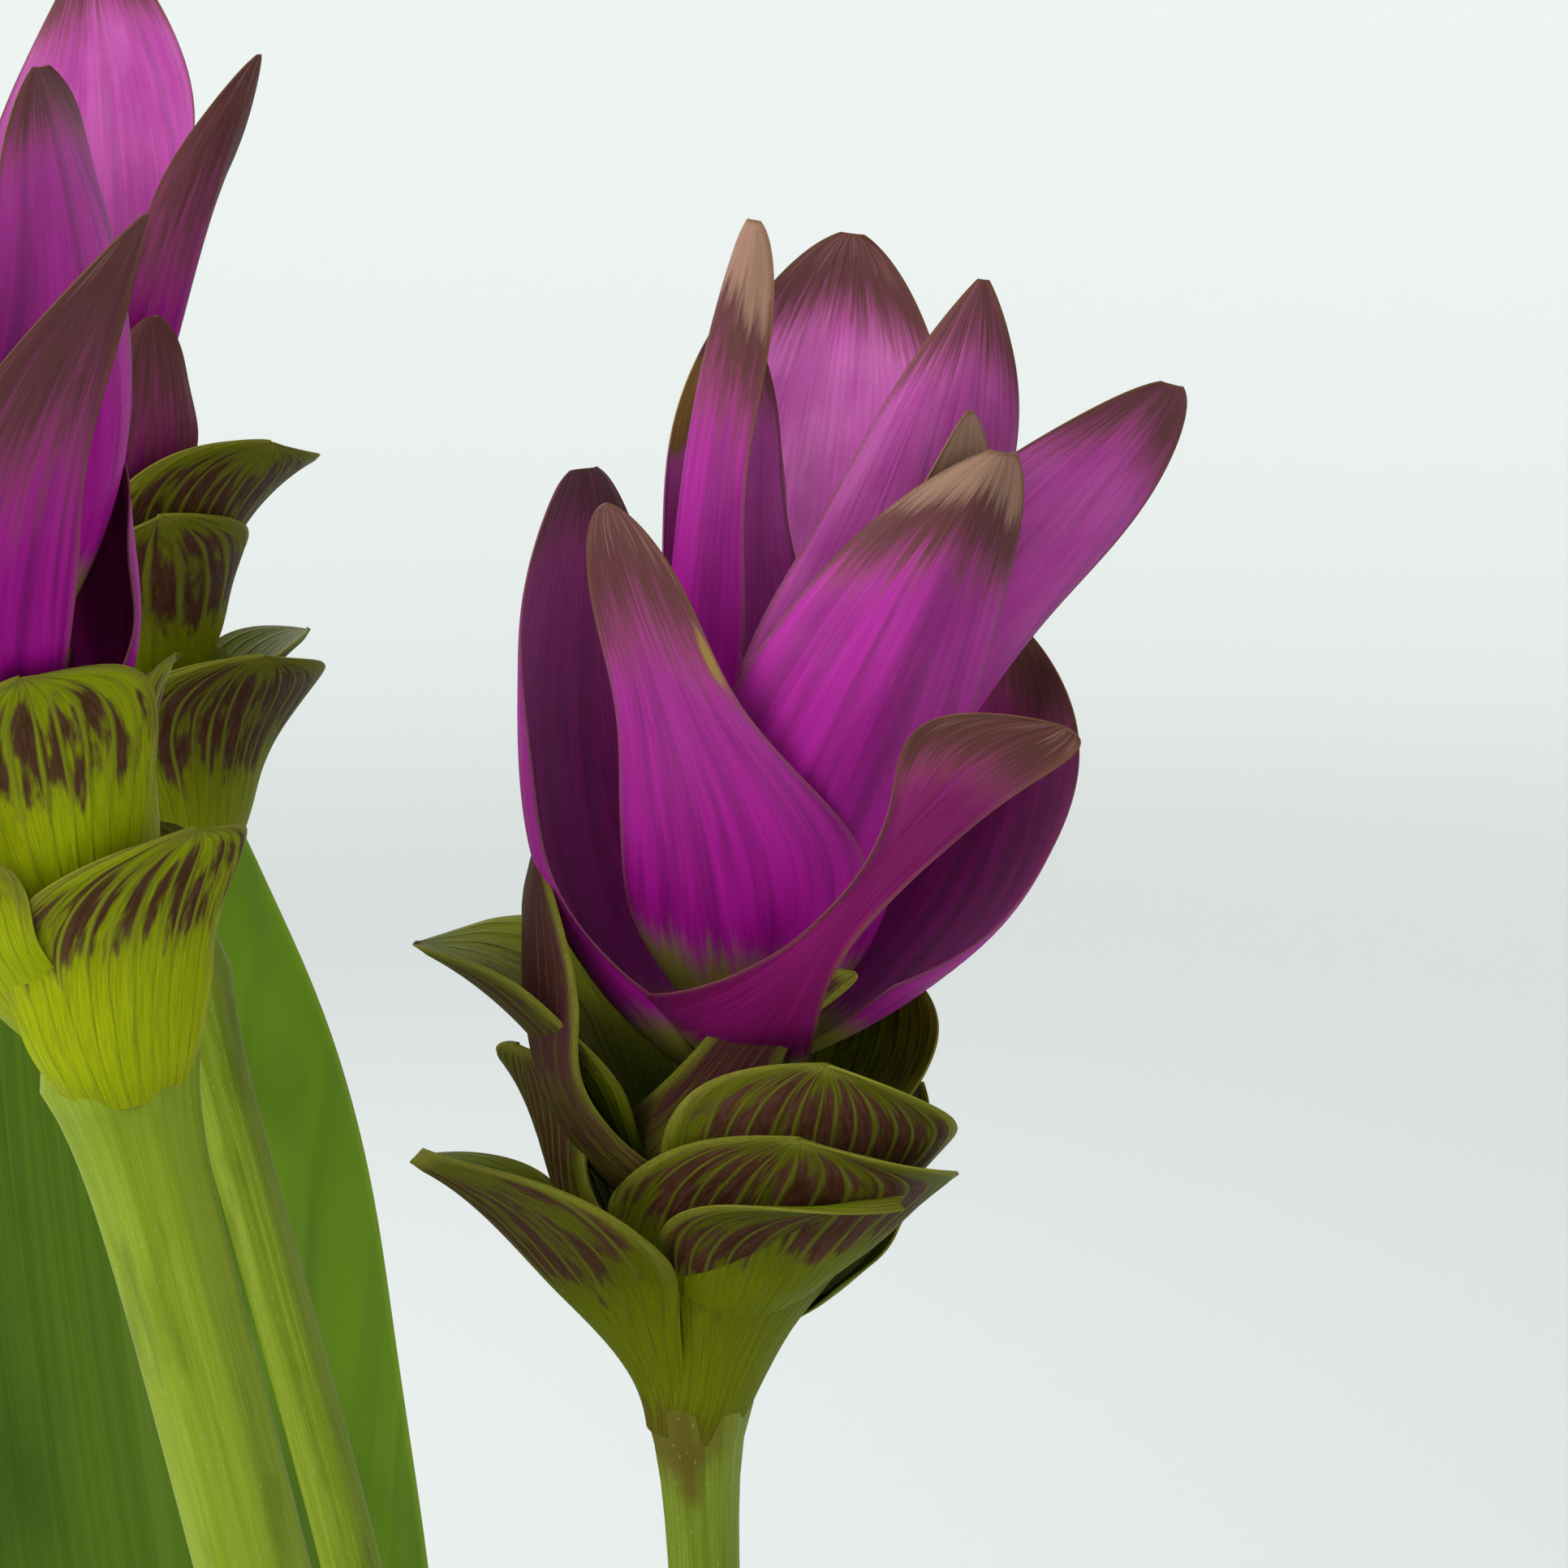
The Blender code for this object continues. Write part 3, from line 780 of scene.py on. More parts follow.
@dataclass(frozen=True)
class BractShape:
    """A bract on a surface that opens round the spike's axis.

    facing is its compass angle, height where it leaves the spike, leans its angles
    from the axis from foot to tip, turn how far its tip turns round the axis.
    cups are the roundness across it at foot, middle and tip (1 follows the spike,
    0 is flat), keel the fold along its middle, roll how far its margins roll out,
    tilt how far its rows stand square to it, twist how far the tip is turned on
    itself, sway how far the tip is carried sideways.  forms are half widths along
    its left and right sides as shares of half its width, used where they are given,
    and flank is how far those sides stand out, in millimetres.
    """

    number: int
    facing: float
    height: float
    length: float
    width: float
    leans: tuple[float, ...]
    turn: float = 0.0
    spread: float = 80.0
    widest: float = 1.0
    blunt: float = 0.62
    cups: tuple[float, float, float] = (1.0, 0.9, 0.6)
    keel: float = 0.0
    roll: float = 0.0
    roll_width: float = 0.25
    tilt: float = 0.35
    twist: float = 0.0
    sway: float = 0.0
    ripple: float = 0.5
    waves: float = 2.3
    notch: tuple[float, float] = (0.0, 0.0)
    sides: tuple[float, float] = (1.0, 1.0)
    forms: tuple[tuple[float, ...], ...] = ((), ())
    flank: tuple[float, float] = (0.0, 0.0)
    point: float = 1.0
    dress: Dress = Dress()


class BractKind(Enum):
    """The two kinds of bract on a spike."""

    POUCH = "green"
    COMA = "coma"


@dataclass
class BractMaker:
    """Builds the bracts of one kind on one spike."""

    scape: Scape
    kind: BractKind
    material: Material
    columns: int = 36
    rows: int = 58
    thickness: float = 0.00042
    thin: float = 0.35
    soft: float = 1.6
    crowding: float = 1.5
    gather: float = 1.35
    close: float = 9.0
    sunk: float = 0.35

    def outline(self, shape: BractShape, t: np.ndarray, r: np.ndarray
                ) -> tuple[np.ndarray, np.ndarray]:
        """Half widths to the left and right along a bract, millimetres.

        Args:
            shape: The bract.
            t: Shares of its length.
            r: Distances from the spike's axis there, millimetres.

        Returns:
            The left and the right half widths.
        """
        halves = []
        limit = r * math.radians(shape.spread)
        for notch, side, form in zip(shape.notch, shape.sides, shape.forms):
            if form:
                half = shape.width / 2 * through(form, t) * np.sqrt(1 - np.power(t, self.close))
                halves.append(np.clip(half, 0.0, limit))
            elif self.kind is BractKind.POUCH:
                share = np.clip((t - notch) / (1 - notch), 0.0, 1.0)
                taper = np.power(1 - np.power(share, shape.blunt), shape.point)
                halves.append(np.minimum(shape.width / 2, limit) * taper * side)
            else:
                wave = np.sin(math.pi * (0.13 + 0.865 * np.power(t, shape.widest)))
                half = shape.width / 2 * np.power(np.clip(wave, 0.0, 1.0), shape.blunt)
                halves.append(np.minimum(half, limit) * side)
        return halves[0], halves[1]

    def lattice(self, shape: BractShape) -> tuple[np.ndarray, dict[str, np.ndarray]]:
        """The bract's middle surface.

        Args:
            shape: The bract.

        Returns:
            Points in metres, rows x columns x 3, and the fields that colour them.
        """
        q = np.linspace(0.0, 1.0, self.rows + 1)
        t = 1 - np.power(1 - q, self.crowding)
        lean = np.radians(through(shape.leans, t))
        step = np.diff(t) * shape.length
        start = self.scape.spike_radius(shape.height * MM) / MM - self.sunk
        r = start + integral(np.sin(lean), step)
        z = shape.height + integral(np.cos(lean), step)
        facing = np.radians(shape.facing + shape.turn * t * t)
        side, away, up = (np.array(v) for v in (self.scape.side, self.scape.away, self.scape.up))
        out = np.outer(np.cos(facing), side) + np.outer(np.sin(facing), away)
        tangent = np.outer(-np.sin(facing), side) + np.outer(np.cos(facing), away)
        square = out * np.cos(lean)[:, None] - up * np.sin(lean)[:, None]
        normal = out * (1 - shape.tilt) + square * shape.tilt
        normal /= np.linalg.norm(normal, axis=1)[:, None]
        twist = np.radians(shape.twist) * t * t
        across_way = tangent * np.cos(twist)[:, None] + normal * np.sin(twist)[:, None]
        normal = normal * np.cos(twist)[:, None] - tangent * np.sin(twist)[:, None]
        middle = (np.array(self.scape.base) / MM + out * r[:, None] + up * z[:, None]
                  + tangent * (shape.sway * t ** 3)[:, None])
        left, right = self.outline(shape, t, np.maximum(r, 0.5))
        u = np.linspace(-1.0, 1.0, self.columns + 1)
        u = np.sin(u * self.gather) / math.sin(self.gather)
        half = np.where(u[None, :] < 0, left[:, None], right[:, None])
        s = half * u[None, :]
        curve = through(shape.cups, t) / np.maximum(r, 0.5)
        angle = (-curve[:, None] * s
                 - np.sign(s) * math.radians(shape.keel)
                 * (1 - np.exp(-np.abs(s) / 0.8)) * smooth(t, 0.05, 0.4)[:, None]
                 + np.sign(s) * math.radians(shape.roll)
                 * smooth(np.abs(u), 1 - shape.roll_width, 1.0)[None, :]
                 * smooth(t, 0.15, 0.45)[:, None])
        x = np.zeros_like(s)
        n = np.zeros_like(s)
        centre = self.columns // 2
        for j in range(centre + 1, self.columns + 1):
            for k, previous in ((j, j - 1), (2 * centre - j, 2 * centre - j + 1)):
                bend = 0.5 * (angle[:, k] + angle[:, previous])
                width = s[:, k] - s[:, previous]
                x[:, k] = x[:, previous] + np.cos(bend) * width
                n[:, k] = n[:, previous] + np.sin(bend) * width
        n += (np.where(u < 0, shape.flank[0], shape.flank[1])[None, :] * u[None, :] ** 2
              * smooth(t, 0.0, 0.4)[:, None])
        phase = shape.number * 2.1 + np.where(u > 0, 2.2, 0.0)[None, :]
        n += (shape.ripple * np.abs(u)[None, :] ** 3 * smooth(t, 0.15, 0.5)[:, None]
              * np.sin(math.tau * shape.waves * t[:, None] + phase))
        places = (middle[:, None, :] + across_way[:, None, :] * x[:, :, None]
                  + normal[:, None, :] * n[:, :, None])
        return places * MM, self.fields(shape, t, u, half)

    def fields(self, shape: BractShape, t: np.ndarray, u: np.ndarray, half: np.ndarray
               ) -> dict[str, np.ndarray]:
        """Numbers per point that the finish reads.

        Args:
            shape: The bract.
            t: Shares of its length, one per row.
            u: Shares of its half width, one per column.
            half: Half widths, rows x columns, millimetres.

        Returns:
            Fields by name, each rows x columns.
        """
        dress = shape.dress
        tall, wide = np.meshgrid(t, u, indexing="ij")
        rim = np.minimum(half * (1 - np.abs(wide)), (1 - tall) * shape.length)
        brown = dress.brown * smooth(tall + 0.05 * np.abs(wide), 1 - dress.brown_reach * 2, 1.0)
        scar = np.zeros_like(tall)
        for place_u, place_t, size, strength in dress.scars:
            gap = ((wide - place_u) * shape.width / 2) ** 2 + ((tall - place_t)
                                                              * shape.length * 0.5) ** 2
            scar += strength * np.exp(-gap / size ** 2)
        return {
            "vein": wide * shape.width / 2,
            "along": tall * shape.length,
            "rim": rim,
            "seed": np.full_like(tall, shape.number * 7.3 + ord(self.scape.letter)),
            "height": tall,
            # painted light: how strongly the spike is lit, which lightens its pouches
            "bright": np.full_like(tall, self.scape.bright),
            "brown": brown,
            "scar": scar,
            "pale": np.clip(dress.pale + dress.pale_tip * smooth(tall, 0.35, 0.95), 0, 1),
            "maroon": np.full_like(tall, dress.maroon),
            "foot": 1.35 * (1 - smooth(tall, 0.0, max(0.02, dress.foot * 2))),
            "hem": np.full_like(tall, dress.hem),
            "blotch": dress.blotch * smooth(tall, dress.blotch_low, dress.blotch_low + 0.3)
            * (1 - 0.45 * smooth(tall, 0.8, 1.0)) * (1 - 0.4 * smooth(np.abs(wide), 0.6, 1.0)),
        }

    def build(self, shape: BractShape) -> None:
        """Makes one bract and ties it to its CAD node."""
        places, fields = self.lattice(shape)
        node = f"{self.kind.value}_{self.scape.letter}_{shape.number}"
        obj = lattice_mesh(f"{node}_bract", places, fields)
        thicken(obj, self.thickness, self.thin, self.soft)
        self.shade_inside(obj, shape.dress)
        slot = Slot.POUCH if self.kind is BractKind.POUCH else Slot.COMA
        settle(obj, slot, self.material, node)

    def shade_inside(self, obj: Object, dress: Dress) -> None:
        """Changes the fields of the inner face, which is coloured differently."""
        inside = get_float(obj, "inside")
        deep = 0.25 + 0.75 * smooth(get_float(obj, "height"), 0.15, 0.75)
        for name, extra in (("pale", dress.pale_inside), ("maroon", dress.maroon_inside * deep)):
            set_float(obj, name, np.clip(get_float(obj, name) + extra * inside, 0.0, 1.0))


# ------------------------------------------------------------------ leaves
@dataclass(frozen=True)
class LeafShape:
    """A leaf: a sheath round the scape's foot, then a channelled, pleated blade.

    Lengths are metres and facing is a compass angle in degrees.  layer is how many
    sheaths lie under its own, clasp how far the sheath goes up, rise and reach how far
    the tip is above that and out, droop how far it hangs back.  arch sets how late it
    turns outward, fullness and blunt the shape of its outline.
    """

    number: int
    layer: int
    facing: float
    clasp: float
    rise: float
    reach: float
    width: float
    droop: float
    arch: float
    fullness: float = 0.9
    blunt: float = 1.0


@dataclass
class LeafMaker:
    """Builds the leaves of one shoot."""

    scape: Scape
    material: Material
    columns: int = 48
    sheath_rows: int = 14
    blade_rows: int = 80
    thickness: float = 0.0007
    thin: float = 0.3
    soft: float = 3.0
    wrap: float = 100.0
    neck: float = 0.25
    channel: float = 0.8
    pleat: float = 0.00035
    pleat_width: float = 0.0031
    rib_depth: float = 0.0012
    rib_width: float = 0.0014
    waviness: float = 21
    ripple: float = 0.0016
    gap: float = 0.0003
    cad_thickness: float = 0.001

    def build(self, leaf: LeafShape) -> None:
        """Makes one leaf and ties it to its CAD node."""
        facing = math.radians(leaf.facing)
        outward = np.array((math.cos(facing), math.sin(facing), 0.0))
        across = np.array((-outward[1], outward[0], 0.0))
        radius = (self.scape.radius * self.scape.foot_swell + 2 * self.gap
                  + (self.cad_thickness + 2 * self.gap) * leaf.layer + self.cad_thickness / 2)
        wrapped = radius * math.radians(self.wrap)
        top = self.scape.soil_top + leaf.clasp
        foot = self.scape.soil_top - self.scape.foot_depth
        u = np.linspace(-1.0, 1.0, self.columns + 1)
        rows, halves = [], []
        for i in range(self.sheath_rows):
            height = foot + (top - foot) * i / self.sheath_rows
            rows.append(self.row(np.array(self.scape.at_height(height)), outward, across,
                                 radius, wrapped, radius, u))
            halves.append(wrapped)
        start = np.array(self.scape.at_height(top))
        for i in range(self.blade_rows + 1):
            t = 1 - (1 - i / self.blade_rows) ** 1.25
            outline = math.sin(math.pi * (0.08 + 0.918 * t) ** leaf.fullness) ** leaf.blunt
            neck = max(0.0, 1 - t / self.neck) ** 2
            half = leaf.width / 2 * outline * (1 - neck) + wrapped * neck
            bend = radius + (leaf.width * self.channel - radius) * min(1.0, 2.5 * t)
            middle = start + np.array((0, 0, leaf.rise * t - leaf.droop * t ** 4))
            row = self.row(middle, outward, across, radius + leaf.reach * t ** leaf.arch,
                           half, bend, u)
            fade = min(1.0, 4 * t) * min(1.0, 6 * (1 - t))
            pleats = np.cos(u * half / self.pleat_width * math.pi)
            waves = np.sin(t * self.waviness + leaf.number * 1.7 + np.where(u > 0, 1.9, 0.0))
            lift = fade * (self.pleat * pleats + self.ripple * np.abs(u) ** 2.5 * waves
                           - self.rib_depth * np.exp(-(u * half / self.rib_width) ** 2))
            rows.append(row + np.outer(lift, outward * 0.8 + np.array((0, 0, 0.6))))
            halves.append(half)
        places = np.array(rows)
        centre = places[:, self.columns // 2]
        steps = np.linalg.norm(np.diff(centre, axis=0), axis=1)
        lengths = np.concatenate([[0.0], np.cumsum(steps)])
        half = np.array(halves)[:, None]
        wide = np.tile(u, (len(rows), 1))
        along = np.tile(lengths[:, None], (1, self.columns + 1)) / MM
        rim = np.minimum(half * (1 - np.abs(wide)) / MM, lengths[-1] / MM - along)
        share = along / along.max()
        obj = lattice_mesh(f"leaf_{self.scape.letter}_{leaf.number}_blade", places, {
            "vein": wide * half / MM,
            "side_vein": wide * leaf.width / 2 / MM + 0.1 * np.abs(wide) * along,
            "along": along,
            "rim": rim,
            "seed": np.full_like(along, leaf.number * 11.0 + ord(self.scape.letter)),
            "brown": smooth(share, 0.9, 1.0),
        })
        thicken(obj, self.thickness, self.thin, self.soft)
        settle(obj, Slot.LEAF, self.material, f"leaf_{self.scape.letter}_{leaf.number}")

    @staticmethod
    def row(middle: np.ndarray, outward: np.ndarray, across: np.ndarray, out: float,
            half: float, bend: float, u: np.ndarray) -> np.ndarray:
        """Points across a leaf on an arc of radius bend, standing out by out."""
        angle = u * half / bend
        return (middle + np.outer(bend * np.sin(angle), across)
                + np.outer(out - bend * (1 - np.cos(angle)), outward))


# ------------------------------------------------------------------ pot and mix
@dataclass
class Pot:
    """A tapered nursery pot with a rim band and drain holes."""

    height: float = 0.12
    top_radius: float = 0.066
    base_radius: float = 0.05
    wall: float = 0.0016
    floor: float = 0.0022
    rim_depth: float = 0.013
    rim_proud: float = 0.0035
    drain_holes: int = 6
    drain_radius: float = 0.0045
    drain_ring: float = 0.034
    drain_turn: float = math.radians(4.5)
    sides: int = 160

    def wall_radius(self, height: float) -> float:
        """Outer radius of the wall at that height."""
        return self.base_radius + (self.top_radius - self.base_radius) * height / self.height

    def profile(self) -> list[tuple[float, float]]:
        """Radius and height of each ring after the underside's, outside then inside."""
        low = self.height - self.rim_depth
        rim = self.top_radius + self.rim_proud
        rings = [(self.wall_radius(0.0012) + 0.0002, 0.0012)]
        rings += [(self.wall_radius(low * k / 6), low * k / 6) for k in range(1, 6)]
        rings += [(self.wall_radius(low), low), (rim - 0.0006, low + 0.0009),
                  (rim, low + 0.0022), (rim, self.height - 0.0034),
                  (rim - 0.0004, self.height - 0.0026), (rim - 0.0004, self.height - 0.0006),
                  (rim - 0.001, self.height),
                  (self.top_radius - self.wall + 0.0006, self.height),
                  (self.top_radius - self.wall, self.height - 0.0008)]
        rings += [(self.wall_radius(self.height * k) - self.wall, self.height * k)
                  for k in (0.9, 0.8, 0.5, 0.2)]
        rings.append((self.wall_radius(self.floor) - self.wall, self.floor))
        return rings

    def build(self, material: Material) -> None:
        """Draws the pot up from a disc, ring by ring, and cuts its drain holes."""
        pot = disc("nursery_pot", self.sides, self.base_radius)
        draw_up(self.base_radius, self.profile())
        finish_edit()
        for i in range(self.drain_holes):
            turn = self.drain_turn + math.tau * i / self.drain_holes
            choose()
            bpy.ops.mesh.primitive_cylinder_add(
                vertices=40, radius=self.drain_radius, depth=4 * self.floor,
                location=(self.drain_ring * math.cos(turn), self.drain_ring * math.sin(turn),
                          self.floor / 2))
            cutter = newest(f"drain_cutter_{i}")
            modifier = pot.modifiers.new("drain", "BOOLEAN")
            modifier.operation = "DIFFERENCE"
            modifier.solver = "EXACT"
            modifier.object = cutter
            choose(pot)
            bpy.ops.object.modifier_apply(modifier=modifier.name)
            bpy.data.objects.remove(cutter)
        settle(pot, Slot.POT, material, "pot", sharp=40)


@dataclass
class PottingMix:
    """Crumbly potting mix, with bark chips and pale grains lying in it."""

    pot: Pot
    drop: float = 0.014
    dome: float = 0.003
    depth: float = 0.01
    taper: float = 0.0015
    rings: int = 46
    sides: int = 150
    crumb: float = 0.0019
    gap: float = 0.0003
    bare_edge: float = 0.004
    bark: int = 150
    grains: int = 110
    seed: int = 7
    keep_clear: tuple[tuple[float, float, float], ...] = ()

    def surface_height(self, x: float, y: float) -> float:
        """Height of the crumbled surface at that place."""
        edge = self.pot.wall_radius(self.pot.height - self.drop) - self.pot.wall
        share = min(1.0, math.hypot(x, y) / edge)
        place = Vector((x, y, 0.0))
        rough = (noise.fractal(place * 160, 0.9, 2.1, 4) * 0.6
                 + noise.fractal(place * 520 + Vector((3, 7, 1)), 0.8, 2.0, 3) * 0.35)
        return (self.pot.height - self.drop + self.dome * (1 - share ** 2)
                + self.crumb * rough * (1 - 0.5 * share ** 6))

    def build(self, mix: Material, bark: Material, grain: Material) -> None:
        """Makes the bed, then scatters the chips and grains over it.

        Args:
            mix: Finish of the bed.
            bark: Finish of the chips.
            grain: Finish of the pale grains.
        """
        top = self.pot.height - self.drop
        edge = self.pot.wall_radius(top) - self.pot.wall - self.gap
        bed = disc("potting_mix_bed", self.sides, edge - self.taper)
        draw_up(edge - self.taper, [(edge, self.depth)])
        for _ in range(self.rings):
            bpy.ops.mesh.inset(thickness=edge / (self.rings + 1.5), depth=0.0)
        finish_edit()
        for vertex in bed.data.vertices:
            if vertex.co.z > self.depth / 2:
                vertex.co.z = self.surface_height(vertex.co.x, vertex.co.y)
            else:
                vertex.co.z = top - self.depth
        settle(bed, Slot.SOIL, mix, "soil", sharp=60)
        rng = np.random.default_rng(self.seed)
        self.scatter("bark_chips", self.bark, (0.0016, 0.0042), (1.0, 0.62, 0.3), 3, rng, bark)
        self.scatter("pale_grains", self.grains, (0.0007, 0.0018), (1.0, 0.9, 0.8), 5, rng, grain)

    def scatter(self, name: str, count: int, sizes: tuple[float, float], form: Point,
                seed: int, rng: np.random.Generator, material: Material) -> None:
        """Models one lump, copies it over the bed and joins the copies.

        Args:
            name: Name of the joined piece.
            count: How many lumps.
            sizes: Smallest and largest half length, metres.
            form: Lengths of a lump along its three axes.
            seed: Changes the lump's shape.
            rng: Source of the places and turns.
            material: Finish of the lumps.
        """
        choose()
        bpy.ops.mesh.primitive_ico_sphere_add(subdivisions=2, radius=1.0)
        lump = newest(name)
        for vertex in lump.data.vertices:
            wobble = 1 + 0.38 * noise.noise(vertex.co * 1.3 + Vector((seed, 0, 0)))
            vertex.co = Vector(c * f for c, f in zip(vertex.co * wobble, form))
        copies = []
        edge = self.pot.wall_radius(self.pot.height - self.drop) - self.pot.wall - self.bare_edge
        while len(copies) < count:
            out, turn = edge * math.sqrt(rng.random()), math.tau * rng.random()
            x, y = out * math.cos(turn), out * math.sin(turn)
            size = float(sizes[0] + (sizes[1] - sizes[0]) * rng.random() ** 2)
            if any(math.hypot(x - cx, y - cy) < keep + size for cx, cy, keep in self.keep_clear):
                continue
            place = Vector((x, y, self.surface_height(x, y) + size * form[2] * 0.25))
            tilt = (Matrix.Rotation(float(rng.normal(0, 0.35)), 4, "X")
                    @ Matrix.Rotation(float(rng.normal(0, 0.35)), 4, "Y")
                    @ Matrix.Rotation(math.tau * float(rng.random()), 4, "Z"))
            copy = lump.copy()
            copy.data = lump.data.copy()
            copy.data.transform(Matrix.Translation(place) @ tilt @ Matrix.Scale(size, 4))
            bpy.context.scene.collection.objects.link(copy)
            copies.append(copy)
        choose(*copies)
        bpy.ops.object.join()
        bpy.data.objects.remove(lump)
        copies[0].name = name
        settle(copies[0], Slot.SOIL, material, sharp=45)


# ------------------------------------------------------------------ studio
@dataclass
class Studio:
    """A pale sweep, soft light and the camera."""

    target: Point = (0.032, -0.012, 0.38)
    distance: float = 0.31
    elevation: float = 10.0
    view_width: float = 0.139
    sensor: float = 36.0
    pale: Colour = (0.5, 0.52, 0.51)
    glow: tuple[float, float] = (0.14, 0.5)
    floor_radius: float = 2.4
    rise_radius: float = 1.4
    wall_height: float = 1.6

    def sweep(self) -> None:
        """A flat floor that rises all round into a pale wall."""
        floor = disc("studio_floor", 96, self.floor_radius)
        turns = [math.radians(7.5 * step) for step in range(1, 13)]
        rings = [(self.floor_radius + self.rise_radius * math.sin(turn),
                  self.rise_radius * (1 - math.cos(turn))) for turn in turns]
        rings[-1] = (rings[-1][0], rings[-1][1] + self.wall_height)
        draw_up(self.floor_radius, rings)
        bpy.ops.mesh.delete(type="FACE")
        finish_edit(inside=True)
        round_shading(floor, 60)
        g = Recipe("studio_paper")
        away = g.node("VectorMath")
        away.operation = "LENGTH"
        g.put(away.inputs[0], g.place((0.001, 0.001, 0.001)))
        glow = g.step(away.outputs["Value"], 0.0, 3.9, *self.glow)
        shine = g.mix(glow, (0.0, 0.0, 0.0), (0.93, 0.97, 0.95))
        material = g.surface(self.pale, 0.9, None, 0.0, Specular_IOR_Level=0.1,
                             Emission_Strength=1.0)
        g.put(g.nodes["Principled BSDF"].inputs["Emission Color"], shine)
        floor.data.materials.append(material)

    def light(self, name: str, place: Point, size: float, power: float,
              colour: Colour = (1.0, 1.0, 1.0)) -> None:
        """A square soft light that looks at the plant."""
        choose()
        bpy.ops.object.light_add(type="AREA", location=place)
        lamp = bpy.context.object
        lamp.name = name
        lamp.data.energy = power
        lamp.data.size = size
        lamp.data.color = colour
        aim = Vector(self.target) - Vector(place)
        lamp.rotation_euler = aim.to_track_quat("-Z", "Y").to_euler()

    def build(self) -> None:
        """Sets up the sweep, the world, the lights and the camera."""
        scene = bpy.context.scene
        scene.view_settings.view_transform = "Standard"
        world = bpy.data.worlds.new("studio_air")
        world.use_nodes = True
        air = world.node_tree.nodes["Background"]
        air.inputs["Color"].default_value = (0.93, 0.97, 1.0, 1.0)
        air.inputs["Strength"].default_value = 0.62
        scene.world = world
        self.sweep()
        self.light("window", (-0.75, -0.65, 1.15), 0.8, 20.0)
        self.light("fill", (1.1, -0.7, 0.6), 0.9, 2.0)
        self.light("back", (-0.5, 1.0, 1.0), 0.7, 6.0)
        rise = math.radians(self.elevation)
        back = Vector((0, -math.cos(rise), math.sin(rise))) * self.distance
        place = Vector(self.target) + back
        choose()
        bpy.ops.object.camera_add(location=place)
        camera = bpy.context.object
        camera.name = "view"
        camera.rotation_euler = (-back).to_track_quat("-Z", "Y").to_euler()
        camera.data.sensor_width = self.sensor
        camera.data.lens = self.sensor * self.distance / self.view_width
        scene.camera = camera


# ------------------------------------------------------------------ the plant
# bright is painted light: spike b is painted as the most strongly lit, spike c as half lit.
SCAPES = (
    Scape("a", ((0.02, -0.004, 0.0), (0.0225, -0.008, 0.074), (0.0255, -0.011, 0.154),
                (0.024, -0.012, 0.217)), 0.0032, (0.14, 0.0, 1.0), 0.056),
    Scape("b", ((0.0, -0.03, 0.0), (0.003, -0.035, 0.074), (0.001, -0.045, 0.154),
                (-0.0115, -0.05, 0.219), (-0.0203, -0.05, 0.258)),
          0.0045, (-0.25, 0.0, 1.0), 0.052, bright=0.85),
    Scape("c", ((-0.004, 0.022, 0.0), (-0.002, 0.021, 0.074), (-0.004, 0.02, 0.134),
                (-0.0106, 0.02, 0.18), (-0.0276, 0.025, 0.248)),
          0.003, (-0.2, 0.0, 1.0), 0.056, bright=0.4, flare=0.0012),
)

LEAVES = {
    "a": (LeafShape(1, 0, -70, 0.045, 0.115, 0.07, 0.05, 0.024, 1.7),
          LeafShape(2, 1, 20, 0.018, 0.135, 0.085, 0.052, 0.02, 1.7)),
    "b": (LeafShape(1, 0, 190, 0.05, 0.135, 0.065, 0.052, 0.02, 1.7),
          LeafShape(2, 1, -125, 0.02, 0.125, 0.065, 0.054, 0.022, 1.7)),
    "c": (LeafShape(1, 0, 137, 0.05, 0.235, 0.064, 0.065, 0.0, 0.6, 1.5, 0.6),
          LeafShape(2, 1, 75, 0.02, 0.13, 0.06, 0.054, 0.016, 1.7)),
}

# What most pouches share.
pouch = partial(BractShape, spread=68, blunt=2.6, point=.75, tilt=.6, notch=(.5, .5))

